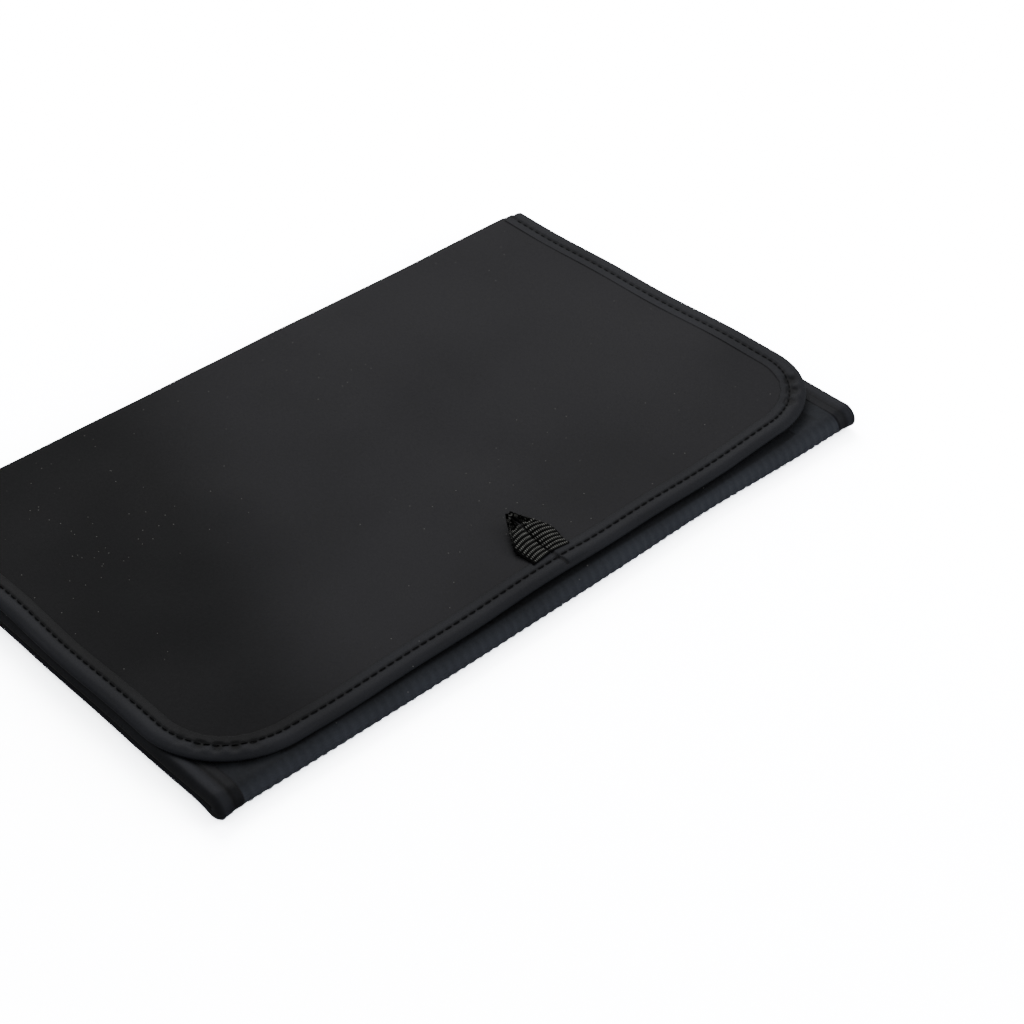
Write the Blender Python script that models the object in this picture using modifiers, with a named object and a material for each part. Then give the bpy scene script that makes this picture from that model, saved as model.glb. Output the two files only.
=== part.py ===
"""Film changing bag, folded flat for storage.

The bag is a light-tight double bag: an outer shell and a liner, each closed by its own zip,
with two elastic-cuffed sleeves. It is folded in half at the front, the sleeves are turned under
it, and a bound cover flap with a webbing pull tab closes over the zips.

Frame: metres, +Z up, +X along the long edge, -Y at the front fold. The origin is the centre of
the footprint on the ground. Each layer of cloth is a flat solid, a small gap from the next.
"""
import math

import bmesh
import bpy
from mathutils import Matrix, Vector

MM = 0.001

# ---- driving dimensions, millimetres ----
WIDTH = 300.0            # along the long edge
DEPTH = 187.0            # front fold to back edge
GAP = 0.3                # clearance between neighbouring layers
CLOTH = 0.5              # shell cloth with its coating
LINER = 0.4              # liner cloth
SEAM_BAND = 3.0          # thickness of a bound seam outside the panels it holds

SLEEVE_LAYER = 0.6       # one layer of a flattened sleeve
SLEEVE_HEIGHT = 2.1      # a whole flattened sleeve
SLEEVE_X = 73.0          # centre line of a sleeve
SLEEVE_ROOT = 132.0      # sleeve width where it is sewn on
SLEEVE_WRIST = 84.0      # sleeve width where the cuff starts
SLEEVE_LENGTH = 146.0    # from the seam to the cuff
CUFF_WIDTH = 76.0
CUFF_LENGTH = 24.0
ELASTIC_WIDTH = 10.0
ELASTIC_WALL = 0.2

ZIP_LENGTH = 280.0
TAPE_WIDTH = 7.0         # tape showing on one side of the coils
TAPE = 0.4
COIL_WIDTH = 2.2         # one row of coils
COIL_HEIGHT = 0.5
OUTER_ZIP_Y = 68.0
INNER_ZIP_Y = 44.0
SLIDER_LENGTH = 10.0
SLIDER_WIDTH = 8.0
SLIDER_TOP = 0.4
SLIDER_TRAVEL = 242.0
PULL_LENGTH = 20.0
PULL_WIDTH = 5.6
PULL_NOSE = 2.0          # radius of the slider's nose, which the pull turns on
STOP_WIDTH = 3.0

FLAP_CORNER = 35.0       # radius of the flap's two front corners
FLAP_FRONT = -89.5       # front edge of the flap
FLAP_OUTER = 0.6
BINDING_HEIGHT = 1.5
HOOK_LENGTH = 110.0
HOOK_WIDTH = 20.0
HOOK_HEIGHT = 0.4
HOOK_Y = -62.0

TAB_X = 6.0              # centre of the webbing pull tab
TAB_Y = -78.5            # where it leaves the binding
TAB_WIDTH = 20.0
TAB_BULGE = 22.0
TAB_LENGTH = 20.0
TAB_THICKNESS = 1.6
TAB_TILT = 15.0          # degrees, tip up
ARC_STEPS = 10

# ---- worked-out places, millimetres ----
HALF = WIDTH / 2
PANEL_X = HALF - SEAM_BAND - GAP          # half-width of every panel between the side seams
FRONT_AXIS_Y = -DEPTH / 2 + 2.2           # front fold line
FOLD_RADIUS = 2.2
BACK_AXIS_Y = 90.5                        # line that the flap turns on
BACK_RADIUS = 1.9
PANEL_FRONT = FRONT_AXIS_Y + FOLD_RADIUS + GAP
PANEL_BACK = BACK_AXIS_Y - BACK_RADIUS - GAP

SLEEVE_Z = 0.0
LOWER_Z = SLEEVE_HEIGHT + GAP             # underside of the lower section
LOWER_LINER_Z = LOWER_Z + CLOTH + GAP
LOWER_LINER_HEIGHT = 0.9                  # the liner's two layers, pressed together
LOWER_TOP_Z = LOWER_LINER_Z + LOWER_LINER_HEIGHT + GAP
FOLD_Z = LOWER_TOP_Z + CLOTH + GAP / 2    # height of the front fold line
UPPER_Z = FOLD_Z + GAP / 2
LINER_BOTTOM_Z = UPPER_Z + CLOTH + GAP
LINER_TOP_Z = LINER_BOTTOM_Z + LINER + GAP
INNER_COIL_Z = LINER_TOP_Z + LINER + GAP
UPPER_TOP_Z = INNER_COIL_Z + COIL_HEIGHT + GAP + SLIDER_TOP + GAP
OUTER_COIL_Z = UPPER_TOP_Z + CLOTH + GAP
HOOK_Z = OUTER_COIL_Z + HOOK_HEIGHT + GAP
FLAP_LINING_Z = OUTER_COIL_Z + COIL_HEIGHT + GAP + SLIDER_TOP + GAP
FLAP_TOP_Z = FLAP_LINING_Z + LINER + GAP
BACK_AXIS_Z = FLAP_LINING_Z - 1.0
TAB_Z = FLAP_TOP_Z + FLAP_OUTER + GAP + TAB_THICKNESS / 2 + 0.2
SLEEVE_AXIS_Z = SLEEVE_HEIGHT + GAP / 2
SLEEVE_AXIS_Y = BACK_AXIS_Y


def clear_scene():
    """Take every object out of the open file."""
    for item in list(bpy.data.objects):
        bpy.data.objects.remove(item, do_unlink=True)


def new_collection(name):
    group = bpy.data.collections.new(name)
    bpy.context.scene.collection.children.link(group)
    return group


def material(name, color, roughness, metallic=0.0):
    """A Principled BSDF of one colour."""
    mat = bpy.data.materials.new(name)
    mat.use_nodes = True
    shader = mat.node_tree.nodes["Principled BSDF"]
    shader.inputs["Base Color"].default_value = (*color, 1.0)
    shader.inputs["Roughness"].default_value = roughness
    shader.inputs["Metallic"].default_value = metallic
    return mat


def pivot(name, x, y, z):
    """An empty on a joint's axis, which the pieces that move with it are parented to."""
    empty = bpy.data.objects.new(name, None)
    empty.location = Vector((x, y, z)) * MM
    empty.empty_display_size = 0.01
    PARTS.objects.link(empty)
    return empty


def place(obj, parent):
    """Parent an object to an empty without moving it."""
    if parent is None:
        return
    obj.parent = parent
    obj.matrix_parent_inverse = Matrix.Translation(parent.location).inverted()


def add(name, mesh_or_curve, mat, parent=None, location=(0, 0, 0)):
    """Put a new object into the parts collection with its material."""
    obj = bpy.data.objects.new(name, mesh_or_curve)
    obj.location = Vector(location) * MM
    mesh_or_curve.materials.append(mat)
    PARTS.objects.link(obj)
    place(obj, parent)
    return obj


def block(name, x_range, y_range, z_range, mat, parent=None, round_edge=0.0):
    """A rectangular layer between two corners, with its edges rounded if asked."""
    size = [(high - low) * MM for low, high in (x_range, y_range, z_range)]
    centre = [(high + low) / 2 for low, high in (x_range, y_range, z_range)]
    mesh = bpy.data.meshes.new(name)
    shape = bmesh.new()
    bmesh.ops.create_cube(shape, size=1.0, matrix=Matrix.Diagonal((*size, 1.0)))
    shape.to_mesh(mesh)
    shape.free()
    obj = add(name, mesh, mat, parent, centre)
    if round_edge:
        bevel = obj.modifiers.new("rounded", "BEVEL")
        bevel.width = round_edge * MM
        bevel.segments = 2
    return obj


def flat_outline(name, outlines, z_range, mat, parent=None, location=(0, 0), turn=None):
    """A flat piece cut to one or more closed outlines; a second one inside the first is a hole."""
    curve = bpy.data.curves.new(name, "CURVE")
    curve.dimensions = "2D"
    curve.fill_mode = "BOTH"
    curve.extrude = (z_range[1] - z_range[0]) / 2 * MM
    for outline in outlines:
        spline = curve.splines.new("POLY")
        spline.points.add(len(outline) - 1)
        for point, (x, y) in zip(spline.points, outline):
            point.co = (x * MM, y * MM, 0.0, 1.0)
        spline.use_cyclic_u = True
    obj = add(name, curve, mat, parent, (*location, (z_range[0] + z_range[1]) / 2))
    if turn is not None:
        obj.rotation_euler = turn
    return obj


def arc(cx, cy, radius, start, end):
    """Points on a circle from one angle in degrees to another."""
    angles = [math.radians(start + (end - start) * i / ARC_STEPS) for i in range(ARC_STEPS + 1)]
    return [(cx + radius * math.cos(a), cy + radius * math.sin(a)) for a in angles]


def flap_outline(inset):
    """The flap: square at the back fold, two round corners at the front."""
    x = HALF - 0.5 - inset
    front = FLAP_FRONT + inset
    radius = FLAP_CORNER - inset
    return [(x, PANEL_BACK), (-x, PANEL_BACK),
            *arc(-x + radius, front + radius, radius, 180, 270),
            *arc(x - radius, front + radius, radius, 270, 360)]


def as_mesh(obj):
    """Turn a curve object into a welded mesh object of the same name and place."""
    graph = bpy.context.evaluated_depsgraph_get()
    mesh = bpy.data.meshes.new_from_object(obj.evaluated_get(graph))
    shape = bmesh.new()
    shape.from_mesh(mesh)
    bmesh.ops.remove_doubles(shape, verts=shape.verts, dist=1e-6)
    shape.to_mesh(mesh)
    shape.free()
    name = obj.name
    parent = obj.parent
    matrix = obj.matrix_world.copy()
    bpy.data.objects.remove(obj, do_unlink=True)
    solid = bpy.data.objects.new(name, mesh)
    PARTS.objects.link(solid)
    solid.matrix_world = matrix
    if parent is not None:
        solid.parent = parent
        solid.matrix_parent_inverse = parent.matrix_world.inverted()
    return solid


def rod_along_x(name, radius, length, centre, mat, parent=None):
    """A round bar of turned cloth lying along X."""
    mesh = bpy.data.meshes.new(name)
    shape = bmesh.new()
    bmesh.ops.create_cone(shape, cap_ends=True, segments=16, radius1=radius * MM,
                          radius2=radius * MM, depth=length * MM,
                          matrix=Matrix.Rotation(math.pi / 2, 4, "Y"))
    shape.to_mesh(mesh)
    shape.free()
    mesh.shade_smooth()
    mesh.set_sharp_from_angle(angle=math.radians(40))
    return add(name, mesh, mat, parent, centre)


def cutter(name, radius, depth, centre):
    """A hidden upright cylinder that a Boolean takes away."""
    mesh = bpy.data.meshes.new(name)
    shape = bmesh.new()
    bmesh.ops.create_cone(shape, cap_ends=True, segments=24, radius1=radius * MM,
                          radius2=radius * MM, depth=depth * MM)
    shape.to_mesh(mesh)
    shape.free()
    obj = bpy.data.objects.new(name, mesh)
    obj.location = Vector(centre) * MM
    obj.display_type = "WIRE"
    obj.hide_render = True
    CUTTERS.objects.link(obj)
    return obj


# ---- the sewn assemblies ----
def zip_fastener(label, y, tape_z, coil_z, direction):
    """A closed coil zip: two tapes, two rows of coils, end stops, a slider and its pull.

    direction is +1 when the slider opens towards +X, and -1 the other way.
    """
    half = ZIP_LENGTH / 2
    for side, sign in (("front", -1), ("rear", 1)):
        edges = sorted((y + sign * GAP / 2, y + sign * (GAP / 2 + TAPE_WIDTH)))
        block(f"{label}_zip_tape_{side}", (-half, half), edges, (tape_z, tape_z + TAPE), TAPE_CLOTH)
        rows = sorted((y + sign * GAP / 2, y + sign * (GAP / 2 + COIL_WIDTH)))
        block(f"{label}_zip_coil_{side}", (-half + 4, half - 4), rows,
              (coil_z, coil_z + COIL_HEIGHT), COIL, round_edge=0.15)
    for side, sign in (("left", -1), ("right", 1)):
        ends = sorted((sign * (half - 4 + GAP), sign * (half - 4 + GAP + STOP_WIDTH)))
        block(f"{label}_zip_stop_{side}", ends, (y - 2.4, y + 2.4),
              (coil_z, coil_z + COIL_HEIGHT), METAL, round_edge=0.1)

    start = -direction * SLIDER_TRAVEL / 2
    carriage = pivot(f"{label}_zip_slider_axis", start, y, coil_z)
    top = coil_z + COIL_HEIGHT + GAP
    slider_body(label, start, y, coil_z, top, direction, carriage)
    nose_x = start + direction * SLIDER_LENGTH / 2
    swivel = pivot(f"{label}_zip_pull_axis", nose_x, y, top)
    pull_leaf(label, nose_x, y, top, direction, swivel)


def slider_body(label, x, y, coil_z, top, direction, parent):
    """A cap over the coils with a flange down each side and a round nose for the pull."""
    back = -SLIDER_LENGTH / 2
    nose = SLIDER_LENGTH / 2
    outline = [(back, SLIDER_WIDTH / 2), (back, -SLIDER_WIDTH / 2),
               (nose - PULL_NOSE - 1.0, -SLIDER_WIDTH / 2), (nose - 1.0, -PULL_NOSE),
               *arc(nose, 0.0, PULL_NOSE, -90, 90),
               (nose - 1.0, PULL_NOSE), (nose - PULL_NOSE - 1.0, SLIDER_WIDTH / 2)]
    cap = flat_outline(f"{label}_zip_slider", [outline], (top, top + SLIDER_TOP), METAL,
                       None, (x, y), (0, 0, 0 if direction > 0 else math.pi))
    bpy.context.view_layer.update()
    cap = as_mesh(cap)
    place(cap, parent)
    for number, sign in enumerate((-1, 1)):
        flange = block(f"{label}_flange_{number}", (x - 4.0, x + 4.0 - PULL_NOSE),
                       sorted((y + sign * (SLIDER_WIDTH / 2 - 1.1), y + sign * (SLIDER_WIDTH / 2 - 0.3))),
                       (coil_z, top + SLIDER_TOP / 2), METAL)
        if direction < 0:
            flange.location.x = (2 * x) * MM - flange.location.x
        PARTS.objects.unlink(flange)
        CUTTERS.objects.link(flange)
        flange.hide_render = True
        flange.display_type = "WIRE"
        union = cap.modifiers.new(f"flange_{number}", "BOOLEAN")
        union.operation = "UNION"
        union.object = flange


def pull_leaf(label, x, y, z, direction, parent):
    """A flat leaf with a round notch that turns on the slider's nose."""
    half = PULL_WIDTH / 2
    tip = PULL_LENGTH - half
    outline = [(0.6, half), (0.6, -half), *arc(tip, 0.0, half, -90, 90)]
    leaf = flat_outline(f"{label}_zip_pull", [outline], (z, z + SLIDER_TOP), METAL,
                        None, (x, y), (0, 0, 0 if direction > 0 else math.pi))
    bpy.context.view_layer.update()
    leaf = as_mesh(leaf)
    place(leaf, parent)
    notch = leaf.modifiers.new("notch", "BOOLEAN")
    notch.operation = "DIFFERENCE"
    notch.object = cutter(f"{label}_notch", PULL_NOSE + GAP, 4.0, (x, y, z))


def upper_section():
    """The half of the bag that stays on top: shell, liner, side seams and both zips."""
    panel = (-PANEL_X, PANEL_X)
    full = (PANEL_FRONT, PANEL_BACK)
    block("upper_underside_panel", panel, (PANEL_FRONT, DEPTH / 2), (UPPER_Z, UPPER_Z + CLOTH),
          SHELL)
    block("liner_bottom_panel", panel, full, (LINER_BOTTOM_Z, LINER_BOTTOM_Z + LINER), LINING)
    layers = (("liner_top", INNER_ZIP_Y, LINER_TOP_Z, LINER, LINING),
              ("upper_top", OUTER_ZIP_Y, UPPER_TOP_Z, CLOTH, SHELL))
    for name, zip_y, z, thickness, cloth in layers:
        margin = GAP / 2 + TAPE_WIDTH + GAP
        block(f"{name}_front_panel", panel, (PANEL_FRONT, zip_y - margin), (z, z + thickness), cloth)
        block(f"{name}_rear_panel", panel, (zip_y + margin, PANEL_BACK), (z, z + thickness), cloth)
    for side, sign in (("left", -1), ("right", 1)):
        band = sorted((sign * (HALF - SEAM_BAND), sign * HALF))
        block(f"upper_side_binding_{side}", band, (PANEL_FRONT, BACK_AXIS_Y),
              (UPPER_Z, UPPER_TOP_Z + CLOTH), BINDING, round_edge=0.8)
    block("loop_strip", (-HOOK_LENGTH / 2, HOOK_LENGTH / 2),
          (HOOK_Y - HOOK_WIDTH / 2, HOOK_Y + HOOK_WIDTH / 2),
          (OUTER_COIL_Z, OUTER_COIL_Z + HOOK_HEIGHT), LOOP)
    rod_along_x("front_fold", FOLD_RADIUS, 2 * PANEL_X, (0, FRONT_AXIS_Y, FOLD_Z), SHELL)
    rod_along_x("back_fold", BACK_RADIUS, 2 * PANEL_X, (0, BACK_AXIS_Y, BACK_AXIS_Z), SHELL)
    zip_fastener("outer", OUTER_ZIP_Y, UPPER_TOP_Z, OUTER_COIL_Z, 1)
    zip_fastener("inner", INNER_ZIP_Y, LINER_TOP_Z, INNER_COIL_Z, -1)


def cover_flap():
    """The bound flap that closes over the zips, with its hook strip and pull tab."""
    hinge = pivot("flap_axis", 0, BACK_AXIS_Y, BACK_AXIS_Z)
    inset = SEAM_BAND + GAP
    flat_outline("flap_outer_panel", [flap_outline(inset)],
                 (FLAP_TOP_Z, FLAP_TOP_Z + FLAP_OUTER), SHELL, hinge)
    flat_outline("flap_lining", [flap_outline(inset)],
                 (FLAP_LINING_Z, FLAP_LINING_Z + LINER), LINING, hinge)
    outer = flap_outline(0.0)
    inner = flap_outline(SEAM_BAND)
    flat_outline("flap_binding", [outer[1:] + outer[:1] + inner[:1] + inner[:0:-1]],
                 (FLAP_LINING_Z - 0.1, FLAP_LINING_Z - 0.1 + BINDING_HEIGHT), BINDING, hinge)
    block("hook_strip", (-HOOK_LENGTH / 2, HOOK_LENGTH / 2),
          (HOOK_Y - HOOK_WIDTH / 2, HOOK_Y + HOOK_WIDTH / 2),
          (HOOK_Z, HOOK_Z + HOOK_HEIGHT), HOOK, hinge)
    tab_hinge = pivot("pull_tab_axis", TAB_X, TAB_Y, TAB_Z)
    half = TAB_WIDTH / 2
    bulge = TAB_BULGE / 2
    outline = [(-half, 0.3), (half, 0.3), (bulge, 0.42 * TAB_LENGTH),
               (0.12 * bulge, TAB_LENGTH), (-0.12 * bulge, TAB_LENGTH), (-bulge, 0.42 * TAB_LENGTH)]
    tab = flat_outline("pull_tab", [outline], (TAB_Z - TAB_THICKNESS / 2, TAB_Z + TAB_THICKNESS / 2),
                       WEBBING, None, (TAB_X, TAB_Y), (math.radians(TAB_TILT), 0, 0))
    place(tab, tab_hinge)


def lower_section():
    """The half of the bag folded under, with its liner, side seams and end seam."""
    hinge = pivot("lower_section_axis", 0, FRONT_AXIS_Y, FOLD_Z)
    panel = (-PANEL_X, PANEL_X)
    back = PANEL_BACK - SEAM_BAND - GAP
    block("lower_outer_panel", panel, (PANEL_FRONT, back), (LOWER_Z, LOWER_Z + CLOTH), SHELL, hinge)
    block("lower_liner", panel, (PANEL_FRONT, back),
          (LOWER_LINER_Z, LOWER_LINER_Z + LOWER_LINER_HEIGHT), LINING, hinge)
    block("lower_inner_panel", panel, (PANEL_FRONT, back),
          (LOWER_TOP_Z, LOWER_TOP_Z + CLOTH), SHELL, hinge)
    block("lower_end_seam", panel, (back + GAP, PANEL_BACK),
          (LOWER_Z, LOWER_TOP_Z + CLOTH), BINDING, hinge, 0.6)
    for side, sign in (("left", -1), ("right", 1)):
        band = sorted((sign * (HALF - SEAM_BAND), sign * HALF))
        block(f"lower_side_binding_{side}", band, (PANEL_FRONT, PANEL_BACK),
              (LOWER_Z, LOWER_TOP_Z + CLOTH), BINDING, hinge, 0.8)


def sleeve(side, sign):
    """A flattened sleeve under the bag: two layers, two cuff halves and the wrist elastic."""
    centre = sign * SLEEVE_X
    hinge = pivot(f"sleeve_{side}_axis", centre, SLEEVE_AXIS_Y, SLEEVE_AXIS_Z)
    start = SLEEVE_AXIS_Y - 2.8
    wrist = start - SLEEVE_LENGTH
    root = SLEEVE_ROOT / 2
    narrow = SLEEVE_WRIST / 2
    outline = [(root, start), (-root, start), (-narrow, wrist), (narrow, wrist)]
    heights = (("under", SLEEVE_Z), ("over", SLEEVE_Z + SLEEVE_HEIGHT - SLEEVE_LAYER))
    for layer, z in heights:
        flat_outline(f"sleeve_{side}_{layer}_layer", [outline], (z, z + SLEEVE_LAYER), SHELL,
                     hinge, (centre, 0))
        block(f"cuff_{side}_{layer}_half", (centre - CUFF_WIDTH / 2, centre + CUFF_WIDTH / 2),
              (wrist - GAP - CUFF_LENGTH, wrist - GAP), (z, z + SLEEVE_LAYER), RIB, hinge)
    low = SLEEVE_LAYER + GAP
    high = SLEEVE_HEIGHT - SLEEVE_LAYER - GAP
    middle_z = (low + high) / 2
    height = (high - low) / 2
    half = CUFF_WIDTH / 2 - 1.0
    ring = [[(-half, -height), (half, -height), (half, height), (-half, height)]]
    wall = ELASTIC_WALL
    inside = height - wall
    ring.append([(-half + wall, -inside), (half - wall, -inside),
                 (half - wall, inside), (-half + wall, inside)])
    middle_y = wrist - GAP - CUFF_LENGTH / 2
    band = flat_outline(f"wrist_elastic_{side}", ring, (-ELASTIC_WIDTH / 2, ELASTIC_WIDTH / 2),
                        ELASTIC, None, (centre, middle_y), (math.pi / 2, 0, 0))
    band.location.z = middle_z * MM
    place(band, hinge)


clear_scene()
PARTS = new_collection("film_changing_bag")
CUTTERS = new_collection("cutters")
SHELL = material("shell_cloth", (0.014, 0.014, 0.016), 0.72)
LINING = material("lining_cloth", (0.02, 0.02, 0.022), 0.6)
BINDING = material("binding_tape", (0.018, 0.019, 0.023), 0.6)
WEBBING = material("tab_webbing", (0.016, 0.017, 0.017), 0.55)
TAPE_CLOTH = material("zip_tape", (0.016, 0.016, 0.018), 0.7)
COIL = material("zip_coil", (0.02, 0.02, 0.02), 0.35)
METAL = material("zip_metal", (0.06, 0.06, 0.065), 0.4, 0.9)
LOOP = material("loop_pile", (0.015, 0.015, 0.017), 0.9)
HOOK = material("hook_tape", (0.02, 0.02, 0.022), 0.5)
RIB = material("cuff_cloth", (0.016, 0.016, 0.018), 0.75)
ELASTIC = material("wrist_elastic", (0.03, 0.03, 0.03), 0.6)

upper_section()
cover_flap()
lower_section()
for side_name, side_sign in (("left", -1), ("right", 1)):
    sleeve(side_name, side_sign)
bpy.context.view_layer.update()
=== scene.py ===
# %% [markdown]
# # A folded film changing bag
# A changing bag is a light-tight cloth bag with two sleeves, for loading film in daylight. This one
# is folded flat: the bag is folded in half at the front, its sleeves are turned underneath, and a
# cover flap with a bound edge and a webbing pull tab closes over the zips.
#
# Everything here is cloth, so nearly every piece is one of two surfaces: a sheet laid along a line
# in the YZ plane, or a small cross-section carried along an edge. Both are worked out as whole
# numpy arrays in millimetres and put into a mesh by one helper.

# %% Load the frame
import math

import bpy
import numpy as np
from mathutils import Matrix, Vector


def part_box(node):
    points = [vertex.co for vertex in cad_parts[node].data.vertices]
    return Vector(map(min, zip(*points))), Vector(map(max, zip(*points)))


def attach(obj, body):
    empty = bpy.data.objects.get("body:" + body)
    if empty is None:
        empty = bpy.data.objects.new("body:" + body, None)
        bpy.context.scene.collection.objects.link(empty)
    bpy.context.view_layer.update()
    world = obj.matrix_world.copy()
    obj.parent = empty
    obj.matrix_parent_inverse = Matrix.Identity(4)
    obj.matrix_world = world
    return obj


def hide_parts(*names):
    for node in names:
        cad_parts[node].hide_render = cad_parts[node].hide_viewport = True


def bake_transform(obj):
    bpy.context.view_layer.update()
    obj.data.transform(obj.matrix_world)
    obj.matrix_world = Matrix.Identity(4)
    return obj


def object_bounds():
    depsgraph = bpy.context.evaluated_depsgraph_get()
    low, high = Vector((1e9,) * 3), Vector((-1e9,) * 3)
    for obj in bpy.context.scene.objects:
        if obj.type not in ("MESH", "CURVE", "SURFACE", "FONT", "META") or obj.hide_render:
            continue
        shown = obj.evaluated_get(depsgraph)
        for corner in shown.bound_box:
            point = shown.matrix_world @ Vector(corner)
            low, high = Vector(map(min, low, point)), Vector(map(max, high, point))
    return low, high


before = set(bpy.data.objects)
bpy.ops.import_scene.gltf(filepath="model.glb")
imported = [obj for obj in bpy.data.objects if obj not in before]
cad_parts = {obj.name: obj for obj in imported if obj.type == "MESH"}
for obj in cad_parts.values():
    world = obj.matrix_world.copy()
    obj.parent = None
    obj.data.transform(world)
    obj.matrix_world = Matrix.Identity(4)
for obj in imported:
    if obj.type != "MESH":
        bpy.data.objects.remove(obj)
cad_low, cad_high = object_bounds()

MM = 0.001


def box_mm(node):
    """Lowest and highest corner of a CAD node, in millimetres."""
    low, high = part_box(node)
    return np.array(low) / MM, np.array(high) / MM


print("CAD box in mm:", [round(v / MM, 1) for v in (*cad_low, *cad_high)])

# %% [markdown]
# ## Measures read from the frame
# The frame holds each layer as a flat plate. Heights and edges come from those plates, so every
# surface below lies where its plate lies.

# %% Edges, fold lines and heights
flap_low, flap_high = box_mm("flap_binding")
HALF = cad_high[0] / MM                     # half of the long edge
FLAP_X = flap_high[0]                       # half-width of the flap
FLAP_FRONT = flap_low[1]                    # front edge of the flap
FLAP_BACK = flap_high[1]                    # where the flap starts to turn down at the back
FLAP_Z = box_mm("flap_outer_panel")[1][2]   # top of the flap's cloth
LINING_Z = box_mm("flap_lining")[0][2]      # underside of the flap's lining
CORNER = 35.0                               # radius of the flap's front corners
FRONT_AXIS = box_mm("front_fold")[0][1:] + 2.2
UPPER_LOW = box_mm("upper_underside_panel")[0][2]
UPPER_HIGH = box_mm("upper_top_front_panel")[1][2]
LOWER_LOW = box_mm("lower_outer_panel")[0][2]
LOWER_HIGH = box_mm("lower_inner_panel")[1][2]
ZIP_Y = (box_mm("outer_zip_coil_front")[1][1] + box_mm("outer_zip_coil_rear")[0][1]) / 2
BINDING_WIDTH = 10.0                        # folded edge tape, seen from above
STITCH_PITCH = 3.6                          # from one needle hole to the next
STITCH_INSET = 6.0                          # stitch line, from the outer edge

# %% [markdown]
# ## Small tools
# `smooth` and `bell` shape every swell and dent. `surface` turns a grid of points into quads, with
# a UV map measured in metres so that weave and stitching keep their size on any piece.

# %% Curves and the mesh helper
def smooth(t):
    """0 below 0 and 1 above 1, with 3t^2 - 2t^3 between."""
    t = np.clip(t, 0.0, 1.0)
    return t * t * (3.0 - 2.0 * t)


def bell(x, centre, width):
    """A bell of height 1: e to the minus square of the distance over the width."""
    return np.exp(-((x - centre) / width) ** 2)


def ripple(x, y, seed, length, count=5):
    """Soft random swells between -1 and 1: a mean of sines whose directions come from a seed."""
    draw = np.random.default_rng(seed)
    total = np.zeros(np.broadcast(x, y).shape)
    for _ in range(count):
        angle, phase, stretch = draw.uniform((0, 0, 0.7), (math.pi, 2 * math.pi, 1.5))
        along = x * math.cos(angle) + y * math.sin(angle)
        total = total + np.sin(2 * math.pi * along / (length * stretch) + phase)
    return total / count


def mesh_piece(name, points, faces, uv=None):
    """An object from points in millimetres and quads, smooth shaded, with an optional UV map."""
    mesh = bpy.data.meshes.new(name)
    mesh.vertices.add(len(points))
    mesh.vertices.foreach_set("co", (np.asarray(points) * MM).astype(np.float32).ravel())
    mesh.loops.add(faces.size)
    mesh.loops.foreach_set("vertex_index", faces.astype(np.int32).ravel())
    mesh.polygons.add(len(faces))
    mesh.polygons.foreach_set("loop_start", np.arange(0, faces.size, faces.shape[1], dtype=np.int32))
    mesh.update(calc_edges=True)
    mesh.validate()
    if uv is not None:
        layer = mesh.uv_layers.new(name="cloth")
        layer.data.foreach_set("uv", uv.astype(np.float32).ravel())
    mesh.shade_smooth()
    piece = bpy.data.objects.new(name, mesh)
    bpy.context.scene.collection.objects.link(piece)
    return piece


def grid_quads(rows, columns, ring=False):
    """The quads between neighbouring points of a grid, as (rows - 1, columns, 4) point numbers."""
    index = np.arange(rows * columns).reshape(rows, columns)
    if ring:
        index = np.hstack([index, index[:, :1]])
    return np.stack([index[:-1, :-1], index[1:, :-1], index[1:, 1:], index[:-1, 1:]], -1)


def turned_round(quads):
    """The same quads with their faces pointing the other way."""
    return quads[..., [0, 3, 2, 1]]


def copies(quads, points_each, count):
    """The faces of many equal small pieces, each with its own run of points."""
    starts = np.arange(count) * points_each
    return (quads.reshape(-1, 4)[None] + starts[:, None, None]).reshape(-1, 4)


def surface(name, grid, outward, ring=False):
    """A sheet from a (rows, columns, 3) grid. outward is the direction that its faces point, as one
    vector or one for each point. With ring, the last column joins the first."""
    rows, columns = grid.shape[:2]
    solid = np.concatenate([grid, grid[:, :1]], axis=1) if ring else grid
    quads = grid_quads(rows, columns, ring)
    along = np.linalg.norm(np.diff(solid, axis=0), axis=2).mean(axis=1)
    across = np.linalg.norm(np.diff(solid, axis=1), axis=2).mean(axis=0)
    u = np.concatenate([[0.0], along.cumsum()]) * MM
    v = np.concatenate([[0.0], across.cumsum()]) * MM
    uv = np.stack(np.meshgrid(u, v, indexing="ij"), -1)
    corners = np.stack([uv[:-1, :-1], uv[1:, :-1], uv[1:, 1:], uv[:-1, 1:]], 2)
    normal = np.cross(solid[1:, :-1] - solid[:-1, :-1], solid[:-1, 1:] - solid[:-1, :-1])
    facing = np.broadcast_to(outward, grid.shape)[: rows - 1, : normal.shape[1]]
    if (normal[:, : facing.shape[1]] * facing).sum() < 0:
        quads = quads[..., ::-1]
        corners = corners[:, :, ::-1]
    return mesh_piece(name, grid.reshape(-1, 3), quads.reshape(-1, 4), corners.reshape(-1, 2))


def dress(piece, mat, body=None, shows=()):
    """Give a piece its finish and slot, the body that it rides on, and the plates that it shows."""
    piece.data.materials.append(mat)
    if shows:
        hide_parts(*shows)
    if body:
        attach(piece, body)
    return piece


def thicken(piece, thickness, offset=-1.0):
    """Give a sheet its thickness in millimetres; offset -1 grows it away from its faces."""
    solid = piece.modifiers.new("thickness", "SOLIDIFY")
    solid.thickness = thickness * MM
    solid.offset = offset
    solid.use_rim = True
    return piece


# %% [markdown]
# ## Camera, floor and light
# The bag lies on a white sweep under soft daylight. The camera stands at its front left corner and
# looks down along the pull tab; its place is an azimuth, an elevation and a distance.

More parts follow.
